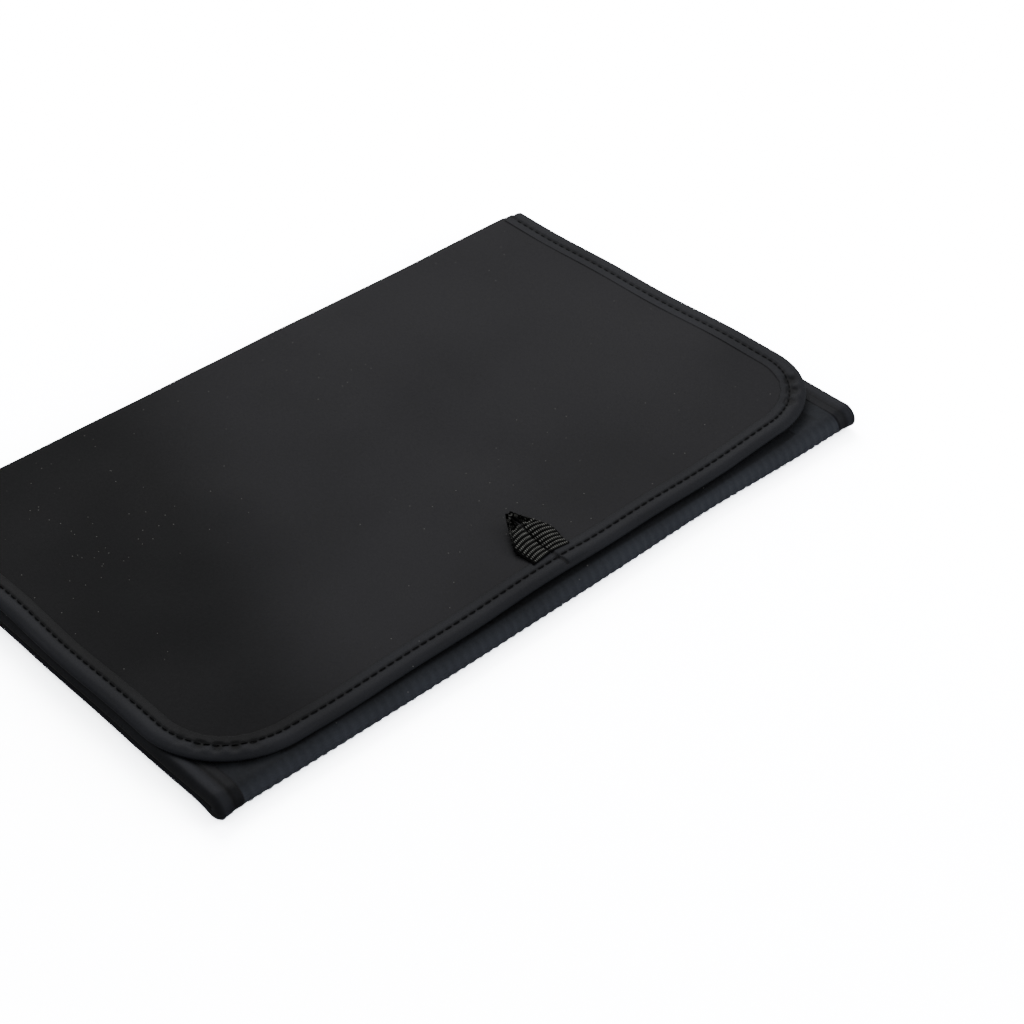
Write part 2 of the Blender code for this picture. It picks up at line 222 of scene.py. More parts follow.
# %% Camera
AZIMUTH, ELEVATION, DISTANCE = math.radians(-43.04), math.radians(39.21), 0.8282
aim = Vector((0.02115, -0.04291, 0.0))
back = Vector((math.sin(AZIMUTH) * math.cos(ELEVATION),
               -math.cos(AZIMUTH) * math.cos(ELEVATION), math.sin(ELEVATION)))
camera_data = bpy.data.cameras.new("camera")
camera_data.lens = 80.8
camera_data.sensor_width = 36.0
camera = bpy.data.objects.new("camera", camera_data)
camera.location = aim + back * DISTANCE
camera.rotation_mode = "QUATERNION"
camera.rotation_quaternion = (-back).to_track_quat("-Z", "Y")
bpy.context.scene.collection.objects.link(camera)
bpy.context.scene.camera = camera
print("camera at", [round(v, 3) for v in camera.location])

# %% [markdown]
# A white sweep in a bright exposure is almost pure white, while black cloth on it is still dark.
# The floor and the sky are therefore a plain white for the light that reaches the cloth, and a
# brighter white for the rays that the camera sends straight to them. That gain only sets the
# exposure of the backdrop: no finish on the bag reads it.

# %% Floor and lights
BACKDROP_GAIN = 34.0                        # how much brighter the backdrop is where it is seen
SKY_STRENGTH = 0.30
FLOOR_REACH = 40000.0                       # half of the floor's side: it ends beyond any view


def seen_switch(tree, usual, seen, target):
    """Mix two shaders: seen for the rays that come straight from the camera, usual for the rest."""
    path = tree.nodes.new("ShaderNodeLightPath")
    mix = tree.nodes.new("ShaderNodeMixShader")
    tree.links.new(path.outputs["Is Camera Ray"], mix.inputs["Fac"])
    tree.links.new(usual.outputs[0], mix.inputs[1])
    tree.links.new(seen.outputs[0], mix.inputs[2])
    tree.links.new(mix.outputs[0], target.inputs["Surface"])


def sweep_material():
    """White for bounced light; the same white times a gain where it is seen directly."""
    mat = bpy.data.materials.new("white_sweep")
    mat.use_nodes = True
    tree = mat.node_tree
    tree.nodes.clear()
    bounce = tree.nodes.new("ShaderNodeBsdfDiffuse")
    bounce.inputs["Color"].default_value = (0.50, 0.505, 0.52, 1.0)
    seen = tree.nodes.new("ShaderNodeBsdfDiffuse")
    bright = tree.nodes.new("ShaderNodeVectorMath")
    bright.operation = "SCALE"
    bright.inputs[0].default_value = (0.985, 0.99, 1.0)
    bright.inputs["Scale"].default_value = BACKDROP_GAIN
    tree.links.new(bright.outputs[0], seen.inputs["Color"])
    seen_switch(tree, bounce, seen, tree.nodes.new("ShaderNodeOutputMaterial"))
    return mat


floor_points = FLOOR_REACH * np.array([[-1.0, -1, 0], [1, -1, 0], [1, 1, 0], [-1, 1, 0]])
floor = mesh_piece("floor", floor_points, np.array([[0, 1, 2, 3]]))
floor.data.materials.append(sweep_material())

world = bpy.data.worlds.new("daylight")
bpy.context.scene.world = world
world.use_nodes = True
sky = world.node_tree
sky_light = sky.nodes["Background"]
sky_light.inputs["Color"].default_value = (0.95, 0.97, 1.0, 1.0)
sky_light.inputs["Strength"].default_value = SKY_STRENGTH
sky_seen = sky.nodes.new("ShaderNodeBackground")
sky_seen.inputs["Strength"].default_value = SKY_STRENGTH * BACKDROP_GAIN
seen_switch(sky, sky_light, sky_seen, sky.nodes["World Output"])


def soft_light(name, location, size, power, color):
    """A square area light that points at the bag."""
    data = bpy.data.lights.new(name, "AREA")
    data.size = size
    data.energy = power
    data.color = color
    lamp = bpy.data.objects.new(name, data)
    lamp.location = location
    lamp.rotation_mode = "QUATERNION"
    lamp.rotation_quaternion = (-Vector(location)).to_track_quat("-Z", "Y")
    bpy.context.scene.collection.objects.link(lamp)


soft_light("window", (0.9, 1.3, 1.5), 1.2, 10.4, (1.0, 0.985, 1.0))
soft_light("fill", (1.5, -1.1, 0.9), 1.4, 5.0, (0.95, 0.955, 1.0))
soft_light("front", (-0.35, -1.7, 0.45), 1.3, 1.6, (0.86, 0.92, 1.0))

# %% [markdown]
# ## Finishes
# All the cloth is black, so the finishes differ by weave, sheen and roughness more than by colour.
# Three node groups are shared: a plain weave, soft wear, and dust. Each puts out
# colours, masks or heights; the shader itself stays in each material.

# %% Node tools
def node_group(name, inputs, outputs):
    """An empty shader group with float inputs and their values, and outputs with their kinds."""
    group = bpy.data.node_groups.new(name, "ShaderNodeTree")
    for label, value in inputs.items():
        kind = "NodeSocketVector" if value is None else "NodeSocketFloat"
        socket = group.interface.new_socket(name=label, in_out="INPUT", socket_type=kind)
        if value is not None:
            socket.default_value = value
    for label, kind in outputs.items():
        group.interface.new_socket(name=label, in_out="OUTPUT", socket_type=kind)
    return group, group.nodes.new("NodeGroupInput"), group.nodes.new("NodeGroupOutput")


def math_node(tree, operation, first, second=None, third=None):
    """A Math node; each input is a socket or a number."""
    node = tree.nodes.new("ShaderNodeMath")
    node.operation = operation
    for slot, value in enumerate((first, second, third)):
        if value is None:
            continue
        if isinstance(value, (int, float)):
            node.inputs[slot].default_value = value
        else:
            tree.links.new(value, node.inputs[slot])
    return node.outputs[0]


def noise_node(tree, vector, scale, detail=3.0, roughness=0.5):
    """Noise texture at a scale, which is a socket or a number."""
    node = tree.nodes.new("ShaderNodeTexNoise")
    tree.links.new(vector, node.inputs["Vector"])
    if isinstance(scale, (int, float)):
        node.inputs["Scale"].default_value = scale
    else:
        tree.links.new(scale, node.inputs["Scale"])
    node.inputs["Detail"].default_value = detail
    node.inputs["Roughness"].default_value = roughness
    return node.outputs["Fac"]


def ramp_node(tree, value, low, high):
    """Map low..high to 0..1, clamped, along a smooth step."""
    node = tree.nodes.new("ShaderNodeMapRange")
    node.interpolation_type = "SMOOTHSTEP"
    tree.links.new(value, node.inputs["Value"])
    node.inputs["From Min"].default_value = low
    node.inputs["From Max"].default_value = high
    return node.outputs["Result"]


# %% [markdown]
# ### Plain weave
# Warp and weft cross over and under. The height is the larger of two rows of threads, each thread
# a rounded bar whose crown swells where it passes over the other set. A little noise keeps the
# threads from being perfectly even.

# %% Weave group
def build_weave():
    """Height = max of warp and weft bars, each sin^2 across times a crown that alternates."""
    group, entry, leave = node_group("plain_weave", {"Vector": None, "Threads per metre": 3000.0,
                                                    "Unevenness": 0.3},
                                     {"Height": "NodeSocketFloat", "Gap": "NodeSocketFloat"})
    scale = group.nodes.new("ShaderNodeVectorMath")
    scale.operation = "SCALE"
    group.links.new(entry.outputs["Vector"], scale.inputs[0])
    group.links.new(entry.outputs["Threads per metre"], scale.inputs["Scale"])
    wander = noise_node(group, entry.outputs["Vector"], 260.0)
    shift = math_node(group, "MULTIPLY", math_node(group, "SUBTRACT", wander, 0.5),
                      entry.outputs["Unevenness"])
    split = group.nodes.new("ShaderNodeSeparateXYZ")
    group.links.new(scale.outputs[0], split.inputs[0])
    across = math_node(group, "MULTIPLY", math_node(group, "ADD", split.outputs[0], shift), math.pi)
    along = math_node(group, "MULTIPLY", math_node(group, "ADD", split.outputs[1], shift), math.pi)
    bars_a = math_node(group, "POWER", math_node(group, "ABSOLUTE", math_node(group, "SINE", across)), 0.8)
    bars_b = math_node(group, "POWER", math_node(group, "ABSOLUTE", math_node(group, "SINE", along)), 0.8)
    over = math_node(group, "MULTIPLY", math_node(group, "COSINE", across), math_node(group, "COSINE", along))
    lifted = math_node(group, "MULTIPLY_ADD", over, 0.5, 0.5)
    crown_a = math_node(group, "MULTIPLY", bars_a, lifted)
    crown_b = math_node(group, "MULTIPLY", bars_b, math_node(group, "SUBTRACT", 1.0, lifted))
    height = math_node(group, "MAXIMUM", crown_a, crown_b)
    group.links.new(height, leave.inputs["Height"])
    group.links.new(ramp_node(group, height, 0.35, 0.05), leave.inputs["Gap"])
    return group


WEAVE = build_weave()

# %% [markdown]
# ### Wear and dust
# Handled cloth is never one tone: broad patches are a little smoother and paler where it has been
# rubbed. Dark cloth also shows lint, so dust is a few pale specks, each cell of a Voronoi pattern
# holding one only where a slow noise allows it.

# %% Wear and dust groups
def build_wear():
    """Two sizes of cloudy noise as one mask from 0 to 1."""
    group, entry, leave = node_group("soft_wear", {"Vector": None, "Scale": 14.0, "Contrast": 1.0},
                                     {"Patch": "NodeSocketFloat", "Grain": "NodeSocketFloat"})
    broad = noise_node(group, entry.outputs["Vector"], entry.outputs["Scale"], 2.0, 0.45)
    fine = noise_node(group, entry.outputs["Vector"], 900.0, 2.0, 0.6)
    centred = math_node(group, "MULTIPLY", math_node(group, "SUBTRACT", broad, 0.5),
                        entry.outputs["Contrast"])
    group.links.new(math_node(group, "ADD", centred, 0.5), leave.inputs["Patch"])
    group.links.new(fine, leave.inputs["Grain"])
    return group


def build_dust():
    """Specks: small discs at Voronoi points, kept where a broad noise is high."""
    group, entry, leave = node_group("dust_specks", {"Vector": None, "Specks per metre": 330.0,
                                                     "Speck size": 0.068, "Cover": 0.5},
                                     {"Dust": "NodeSocketFloat"})
    cells = group.nodes.new("ShaderNodeTexVoronoi")
    group.links.new(entry.outputs["Vector"], cells.inputs["Vector"])
    group.links.new(entry.outputs["Specks per metre"], cells.inputs["Scale"])
    disc = math_node(group, "LESS_THAN", cells.outputs["Distance"], entry.outputs["Speck size"])
    chance = group.nodes.new("ShaderNodeSeparateColor")
    group.links.new(cells.outputs["Color"], chance.inputs[0])
    area = noise_node(group, entry.outputs["Vector"], 9.0, 2.0)
    allowed = math_node(group, "MULTIPLY", ramp_node(group, area, 0.42, 0.62), entry.outputs["Cover"])
    place = group.nodes.new("ShaderNodeSeparateXYZ")
    group.links.new(entry.outputs["Vector"], place.inputs[0])
    side = math_node(group, "MAXIMUM", math_node(group, "MULTIPLY_ADD", place.outputs[0], -6.0, 0.6), 0.22)
    kept = math_node(group, "LESS_THAN", chance.outputs[0], math_node(group, "MULTIPLY", allowed, side))
    group.links.new(math_node(group, "MULTIPLY", disc, kept), leave.inputs["Dust"])
    return group


WEAR = build_wear()
DUST = build_dust()
print("node groups:", [g.name for g in bpy.data.node_groups])

# %% [markdown]
# ### One recipe for every cloth
# A cloth material mixes a dark and a worn colour by the wear mask, adds dust, and builds one bump
# from the weave and the grain. On some pieces a stored mask of painted light also moves the colour
# between the two: paler for painted sheen, highlights and reflection, darker for painted shade and
# shadow. Sheen and roughness set how it catches the window.

# %% Cloth materials
def new_material(name):
    """A material with a Principled shader. Returns it, its tree, the shader and Object coordinates."""
    mat = bpy.data.materials.new(name)
    mat.use_nodes = True
    tree = mat.node_tree
    where = tree.nodes.new("ShaderNodeTexCoord").outputs["Object"]
    return mat, tree, tree.nodes["Principled BSDF"], where


def add_bump(tree, height, shader):
    """Raise the surface by a height in millimetres, seen in its shading only."""
    bump = tree.nodes.new("ShaderNodeBump")
    bump.inputs["Distance"].default_value = MM
    tree.links.new(height, bump.inputs["Height"])
    tree.links.new(bump.outputs["Normal"], shader.inputs["Normal"])


def use_group(tree, group, vector, **values):
    """Place a group, wire its Vector, and set its other inputs."""
    node = tree.nodes.new("ShaderNodeGroup")
    node.node_tree = group
    tree.links.new(vector, node.inputs["Vector"])
    for label, value in values.items():
        node.inputs[label.replace("_", " ")].default_value = value
    return node


def mix_color(tree, mask, first, second):
    """Mix two colours, each a triple or a socket, by a mask socket."""
    node = tree.nodes.new("ShaderNodeMix")
    node.data_type = "RGBA"
    tree.links.new(mask, node.inputs["Factor"])
    for socket, value in ((node.inputs[6], first), (node.inputs[7], second)):
        if isinstance(value, tuple):
            socket.default_value = (*value, 1.0)
        else:
            tree.links.new(value, socket)
    return node.outputs[2]


def cloth(name, dark, worn, roughness, threads=3000.0, weave_depth=0.05, sheen=0.0, dust=0.0,
          grain_depth=0.03, specular=0.35, painted_light=False):
    """A woven black cloth. dark and worn are its two tones, mixed by random wear; threads is its count
    per metre. With the last argument set, the piece carries a mask of painted light for the material
    to read: painted sheen, highlights and reflection make it paler, painted shade and shadow darker."""
    mat, tree, shader, where = new_material(name)
    weave = use_group(tree, WEAVE, where, Threads_per_metre=threads, Unevenness=0.35)
    wear = use_group(tree, WEAR, where, Scale=13.0, Contrast=1.6)
    grainy = math_node(tree, "MULTIPLY_ADD", wear.outputs["Grain"], 0.9, -0.45)
    mask = math_node(tree, "ADD", wear.outputs["Patch"], grainy)
    if painted_light:
        # The stored mask is painted light: painted sheen, highlights and reflection raise it, painted shade
        # and shadow lower it; random wear only nudges it.
        painted_light_mask = tree.nodes.new("ShaderNodeAttribute")
        painted_light_mask.attribute_name = "painted_light"
        mask = math_node(tree, "ADD", painted_light_mask.outputs["Fac"],
                         math_node(tree, "MULTIPLY_ADD", mask, 0.3, -0.15))
    color = mix_color(tree, mask, dark, worn)
    shaded = mix_color(tree, weave.outputs["Gap"], color, tuple(0.55 * c for c in dark))
    if dust:
        specks = use_group(tree, DUST, where, Cover=dust)
        shaded = mix_color(tree, specks.outputs["Dust"], shaded, (0.24, 0.235, 0.22))
    tree.links.new(shaded, shader.inputs["Base Color"])
    rough = math_node(tree, "ADD", math_node(tree, "MULTIPLY", wear.outputs["Patch"], -0.10),
                      roughness + 0.05)
    tree.links.new(rough, shader.inputs["Roughness"])
    height = math_node(tree, "ADD", math_node(tree, "MULTIPLY", weave.outputs["Height"], weave_depth),
                       math_node(tree, "MULTIPLY", wear.outputs["Grain"], grain_depth))
    add_bump(tree, height, shader)
    shader.inputs["Sheen Weight"].default_value = sheen
    shader.inputs["Sheen Roughness"].default_value = 0.4
    shader.inputs["Specular IOR Level"].default_value = specular
    return mat


SHELL = cloth("shell_cloth", (0.012, 0.012, 0.014), (0.021, 0.021, 0.024), 0.62, threads=2600,
              weave_depth=0.06, sheen=0.10, dust=0.25)
# The next three read the stored mask of painted light: on the flap its painted sheen and shade; on the front
# a pale blue painted reflection of the floor and a painted shadow by the flap's edge; on the edge tape
# painted highlights on the rolls and painted shade in grooves, underneath and on the bag's left side.
FLAP_SHELL = cloth("flap_shell_cloth", (0.0135, 0.0131, 0.0139), (0.0505, 0.0490, 0.0525), 0.66, threads=2600,
                   weave_depth=0.06, sheen=0.05, specular=0.2, dust=1.0, grain_depth=0.05, painted_light=True)
FRONT_SHELL = cloth("front_shell_cloth", (0.001, 0.001, 0.001), (0.077, 0.086, 0.104), 0.7, threads=2600,
                    weave_depth=0.06, sheen=0.08, dust=0.25, painted_light=True)
EDGE_TAPE = cloth("binding_tape_painted_light", (0.002, 0.002, 0.0025), (0.038, 0.040, 0.050), 0.56,
                  threads=2600, weave_depth=0.05, sheen=0.06, specular=0.3, dust=0.3, grain_depth=0.05,
                  painted_light=True)
LINING = cloth("lining_cloth", (0.013, 0.013, 0.014), (0.018, 0.018, 0.019), 0.5, threads=3200,
               weave_depth=0.03, sheen=0.03, specular=0.4)
BINDING = cloth("binding_tape", (0.010, 0.011, 0.014), (0.024, 0.025, 0.032), 0.5, threads=2600,
                weave_depth=0.05, sheen=0.16, dust=0.25)
ZIP_TAPE = cloth("zip_tape", (0.012, 0.012, 0.013), (0.016, 0.016, 0.017), 0.65, threads=1700,
                 weave_depth=0.10, sheen=0.08)
THREAD = cloth("sewing_thread", (0.002, 0.002, 0.002), (0.006, 0.006, 0.007), 0.6, threads=5000,
               weave_depth=0.02, specular=0.2)
CUFF = cloth("cuff_cloth", (0.012, 0.012, 0.013), (0.018, 0.018, 0.020), 0.68, threads=2600,
             weave_depth=0.06, sheen=0.12)
ELASTIC = cloth("wrist_elastic", (0.018, 0.018, 0.018), (0.028, 0.028, 0.028), 0.5, threads=900,
                weave_depth=0.14)

# %% [markdown]
# ## The flap's shape
# One height function says where the flap's cloth lies, and the cloth, its binding, the stitches
# and the pull tab all read it. The cloth is a little loose: it swells and dips by less than a
# millimetre, droops at the front left corner, and lifts along its right-hand side.

# %% Flap height and outline
def flap_height(x, y):
    """Top of the flap's cloth: the plate's height plus broad swells, a droop and a lift."""
    calm = 1 - 0.8 * smooth((np.abs(x) - 105) / 30) * smooth((y - 25) / 30)
    swell = (0.32 * ripple(x, y, 11, 95.0) + 0.12 * ripple(x, y, 12, 38.0)) * calm
    dip_left = -0.75 * bell(x, -112, 30) * bell(y, 6, 34)
    dip_right = -0.45 * bell(x, 70, 34) * bell(y, -38, 20)
    crest = 0.45 * bell(x, 20, 70) * bell(y, -8, 30)
    droop = -1.25 * smooth((-x - 20) / 110) * smooth((-y - 45) / 42)
    lift = 2.4 * smooth((x - 92) / 60) * bell(y, -48, 36)
    lift = lift + 0.9 * smooth((x - 40) / 80) * smooth((-y - 40) / 45)
    return FLAP_Z + swell + dip_left + dip_right + crest + droop + lift


def flap_edge(count):
    """The flap's free edge: down the left side, round a corner, along the front, round the other
    corner and up the right side. Returns points, inward directions and distances along it."""
    side = FLAP_BACK - FLAP_FRONT - CORNER
    front = 2 * (FLAP_X - CORNER)
    quarter = CORNER * math.pi / 2
    total = 2 * side + 2 * quarter + front
    s = np.linspace(0.0, total, count)
    left = np.clip(s, 0, side)
    turn_a = np.clip(s - side, 0, quarter) / CORNER
    middle = np.clip(s - side - quarter, 0, front)
    turn_b = np.clip(s - side - quarter - front, 0, quarter) / CORNER
    right = np.clip(s - side - 2 * quarter - front, 0, side)
    x = -FLAP_X + CORNER * (1 - np.cos(turn_a)) + middle + CORNER * np.sin(turn_b)
    y = FLAP_BACK - left - CORNER * np.sin(turn_a) + CORNER * (1 - np.cos(turn_b)) + right
    angle = turn_a + turn_b
    inward = np.stack([np.cos(angle), np.sin(angle)], -1)
    wave = 0.35 * np.sin(s / 23.0) + 0.25 * np.sin(s / 9.5 + 1.0)
    at_front = smooth((-y - 60) / 25)
    sway = at_front * (1.3 * smooth((x - 20) / 100) - 0.6 * smooth((-x - 40) / 60))
    x = x + inward[:, 0] * wave
    y = y + inward[:, 1] * wave + sway
    return x, y, inward, s


# %% [markdown]
# ## Flap cloth
# The flap's cloth starts low behind the bag, rolls over the back fold and runs forward to the
# bound edge. It is a grid whose rows follow that line and whose columns run across, narrowing
# where the front corners are round.

# %% Flap outer cloth
FLAP_INSET = 3.5                            # how far the cloths end inside the binding's edge
ROLL_START = FLAP_BACK - 3.0                # where the cloths start to roll down at the back


def half_width_at(y, inset):
    """Half-width of the flap at y: full, and less inside the round corners."""
    radius = CORNER - inset
    into = np.clip(FLAP_FRONT + CORNER - y, 0.0, radius)
    return FLAP_X - CORNER + np.sqrt(np.maximum(radius ** 2 - into ** 2, 0.0))


def edge_distance(x, y):
    """How far inside the flap's sides, corners and front a point lies."""
    past_x = np.maximum(np.abs(x) - (FLAP_X - CORNER), 0)
    past_y = np.maximum(FLAP_FRONT + CORNER - y, 0)
    return CORNER - np.hypot(past_x, past_y)


def flap_sheet(name, drop, fold_start, fold_bulge, rows=220, columns=200, face=1.0):
    """A layer of the flap. drop is how far it lies under the flap's height; fold_start is the
    height where it leaves the bag at the back, fold_bulge how far behind the axis it goes, and
    face is 1 for a sheet seen from above or -1 for one seen from below."""
    front = FLAP_FRONT + FLAP_INSET
    fold_rows = 36
    flat = np.linspace(0.0, 1.0, rows - fold_rows)
    flat = flat + 0.12 * np.sin(math.pi * flat)
    flat_y = ROLL_START + (front + 0.01 - ROLL_START) * flat
    across = np.linspace(-1.0, 1.0, columns)
    across = across * (1.0 + 0.06 * (1 - across ** 2))
    y = flat_y[:, None] + 0.0 * across[None, :]
    x = half_width_at(flat_y, FLAP_INSET)[:, None] * across[None, :]
    tucked = 0.55 * smooth((8.6 - edge_distance(x, y)) / 1.8) * (face > 0)
    z = flap_height(x, y) - drop - tucked
    turn = np.linspace(0.0, 1.0, fold_rows, endpoint=False)[:, None]
    x_fold = x[:1] + 0.0 * turn
    z_fold = fold_start + (z[:1] - fold_start) * smooth(turn) ** 0.9
    y_fold = ROLL_START + fold_bulge * np.sqrt(np.clip(1 - turn ** 3.2, 0, 1)) * (1 - 0.1 * turn)
    y_fold = y_fold + 0.25 * np.sin(x_fold / 17.0) * (1 - turn)
    grid = np.stack([np.vstack([x_fold, x]), np.vstack([y_fold + 0 * x_fold, y]),
                     np.vstack([z_fold, z])], -1)
    away = np.zeros_like(grid)
    away[..., 2] = face
    piece = surface(name, grid, away)
    # The top layer carries the flap's painted sheen and shade as a stored mask.
    if face > 0:
        keep_mask(piece, "painted_light", painted_light(grid[..., 0], grid[..., 1]))
    return piece


def keep_mask(piece, name, values):
    """Store a mask on a piece's points, for its material to read."""
    mask = piece.data.attributes.new(name, "FLOAT", "POINT")
    mask.data.foreach_set("value", values.astype(np.float32).ravel())


def painted_light(x, y):
    """Painted sheen and shade on the flap: how pale its cloth is painted, little at the left, more past a
    slanting line across it, most at the back right, with a darker patch in front to the right of the tab."""
    slant = x - 0.35 * y
    painted_light_mask = 0.04 + 0.79 * smooth((slant + 95) / 54)
    painted_light_mask = painted_light_mask + 0.20 * smooth((x - 15) / 90) * smooth((y + 55) / 50)
    painted_light_mask = painted_light_mask - 0.22 * bell(x, 48, 32) * bell(y, -52, 24) - 0.12 * bell(x, 104, 20) * bell(y, -70, 20)
    painted_light_mask = painted_light_mask + 0.20 * bell(x, -38, 34) * bell(y, -52, 24) + 0.12 * bell(x, 5, 48) * bell(y, 0, 40)
    painted_light_mask = painted_light_mask + 0.27 * bell(x, -98, 38) * bell(y, -58, 28) - 0.08 * bell(x, -80, 30) * bell(y, 30, 26)
    return np.clip(painted_light_mask + 0.05 * ripple(x, y, 71, 30.0), 0.02, 1.1)


flap_cloth = flap_sheet("flap_outer_cloth", 0.0, UPPER_LOW + 0.4, 8.4)
thicken(flap_cloth, 0.5)
dress(flap_cloth, FLAP_SHELL, shows=("flap_outer_panel", "back_fold"))
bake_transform(flap_cloth)
print("flap cloth:", len(flap_cloth.data.polygons), "faces")

flap_lining = flap_sheet("flap_lining_cloth", FLAP_Z - LINING_Z - 0.4, UPPER_HIGH + 0.25, 2.6,
                         rows=150, columns=150, face=-1.0)
thicken(flap_lining, 0.35)
dress(flap_lining, LINING, shows=("flap_lining",))
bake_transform(flap_lining)
print("flap lining:", len(flap_lining.data.polygons), "faces")

# %% [markdown]
# ## Flap binding
# A folded tape wraps the raw edge and is sewn down with one row of stitches. On the straight runs
# it is smooth with a soft groove along the stitches; round the corners the inner edge has too much
# length, so it gathers into small puckers. The section is an open U that is carried along the
# edge, and every dent is a bell in the distance along it.

# %% Binding section and puckers
def pucker(s, corners):
    """Depth of the gathers along the edge: bells at a few listed distances."""
    depth = np.zeros_like(s)
    for place, width, size in corners:
        depth = depth + size * bell(s, place, width)
    return depth


UNDER_SHARE, EDGE_SHARE = 0.34, 0.52        # where the U's lower leg and its round end
BINDING_ROWS, BINDING_COLUMNS = 1100, 40


def binding_grid(count, columns):
    """The tape's grid: rows along the edge, columns round the U from under the flap, over its
    edge and onto its top. Returns the grid, its outward directions, the distances and the mask
    of painted light: a painted highlight on the roll, painted shade at the stitches, and a strip inside
    them painted with the flap's sheen and shade."""
    x, y, inward, s = flap_edge(count)
    q = np.linspace(0.0, 1.0, columns)
    under, edge = UNDER_SHARE, EDGE_SHARE
    low_part = q < under
    round_part = (q >= under) & (q < edge)
    turn = (q - under) / (edge - under) * math.pi
    top = np.clip((q - edge) / (1 - edge), 0, 1)
    inset = np.where(low_part, 9.0 - 7.9 * q / under, np.where(round_part, 1.1 - 1.1 * np.sin(turn),
                                                              1.1 + (BINDING_WIDTH - 1.1) * top))
    rise = np.where(low_part, -1.42, np.where(round_part, -0.555 - 0.865 * np.cos(turn), 0.31))
    crown = 0.24 * np.sin(math.pi * np.clip((inset - 0.8) / 4.8, 0, 1)) * (q > edge)
    settle = 0.16 * smooth((inset - STITCH_INSET) / 3.6) * (q > edge)
    rise = rise + crown - settle
    side = FLAP_BACK - FLAP_FRONT - CORNER
    quarter = CORNER * math.pi / 2
    first, second = side + 0.45 * quarter, s[-1] - side - 0.5 * quarter
    gathers = [(first - 12, 1.9, 0.3), (first - 4.5, 1.9, 0.7), (first + 2.5, 1.7, 0.95),
               (first + 9.0, 1.8, 0.85), (first + 16, 2.0, 0.45),
               (second - 9, 2.4, 0.8), (second - 1.0, 2.3, 1.35), (second + 6.5, 2.4, 1.2)]
    dent = pucker(s, gathers)[:, None]
    on_top = (q > edge)[None, :]
    reach = smooth((inset[None, :] - 1.4) / 4.2)
    holes = np.abs(np.sin(math.pi * s / STITCH_PITCH))[:, None] ** 6
    groove = (0.20 + 0.26 * (1 - holes)) * bell(inset[None, :], STITCH_INSET, 0.55) * on_top
    swell = 0.10 * ripple(s[:, None], inset[None, :], 21, 26.0)
    from_butt = x[:, None] - 5.5                # the tape's two ends meet right of the middle
    on_front = (y[:, None] < FLAP_FRONT + 4) & on_top
    seam = on_front * (0.28 * smooth(from_butt / 0.5) * smooth((13 - from_butt) / 8)
                       - 0.60 * bell(from_butt, 0.0, 0.5))
    lip = 0.35 * dent * smooth((inset[None, :] - 7.0) / 3.0)
    a = np.broadcast_to(inset[None, :], (count, columns)) - lip * on_top
    px = x[:, None] + inward[:, :1] * a
    py = y[:, None] + inward[:, 1:] * a
    sit_x = x[:, None] + inward[:, :1] * np.maximum(a, 2.0)
    sit_y = y[:, None] + inward[:, 1:] * np.maximum(a, 2.0)
    over_edge = -0.35 * smooth((3.0 - a) / 3.0)
    h = rise[None, :] + over_edge - groove - 1.0 * dent * reach * on_top + swell * on_top + seam
    h = h + 0.45 * np.roll(dent, 5, axis=0) * smooth((inset[None, :] - 1.5) / 3) * on_top * (1 - reach)
    h = np.where(on_top & (inset[None, :] > 3.0), np.maximum(h, -0.34), h)
    strip = smooth((inset[None, :] - STITCH_INSET - 0.8) / 0.8) * on_top
    h = h * (1 - strip) + np.maximum(h, 0.11) * strip
    pz = flap_height(sit_x, sit_y) + h
    grid = np.stack([px, py, pz], -1)
    # Painted light on the tape: the roll is painted pale as a highlight; the stitch groove, the puckers, the
    # butt seam, the inner edge and the underside are painted dark as shade; the strip inside the stitches
    # copies the flap's painted sheen and shade.
    like_flap = painted_light(px, py) * 0.64
    roll = 0.60 + 0.14 * ripple(s[:, None], inset[None, :], 23, 30.0)
    painted_light_mask = roll + (like_flap - roll) * smooth((inset[None, :] - STITCH_INSET) / 0.6)
    painted_light_mask = painted_light_mask * (1 - 0.75 * bell(inset[None, :], STITCH_INSET, 0.55))
    notch = bell(inset[None, :], 5.7, 2.0 + 0.6 * (x[:, None] > 0))
    painted_light_mask = painted_light_mask * (1 - 0.95 * np.clip(1.3 * dent, 0, 1.0) * notch)
    painted_light_mask = painted_light_mask * (1 - 0.9 * on_front * bell(from_butt, 0.0, 0.55))
    painted_light_mask = painted_light_mask * (1 - 0.35 * bell(inset[None, :], BINDING_WIDTH, 0.5))
    painted_light_mask = np.where(on_top | (inset[None, :] < 1.0), painted_light_mask, 0.0)
    out = np.zeros_like(grid)
    out[..., 0] = -inward[:, :1] * (1 - top[None, :])
    out[..., 1] = -inward[:, 1:] * (1 - top[None, :])
    out[..., 2] = np.where(q > edge, 1.0, np.where(q < under, -1.0, 0.0))[None, :]
    return grid, out, s, painted_light_mask


binding_points, binding_out, edge_s, binding_painted_light = binding_grid(BINDING_ROWS, BINDING_COLUMNS)
flap_binding = surface("flap_binding_tape", binding_points, binding_out)
keep_mask(flap_binding, "painted_light", binding_painted_light)
thicken(flap_binding, 0.35)
dress(flap_binding, EDGE_TAPE, "flap", ("flap_binding",))
print("binding:", len(flap_binding.data.polygons), "faces,", round(float(edge_s[-1])), "mm long")

# %% [markdown]
# ## Stitches
# A stitch is a short piece of thread that dips into the cloth at both ends. One small tube is
# worked out for all stitches at once: its centre line is a flat arch between two needle holes, and
# the ring round it has six sides.

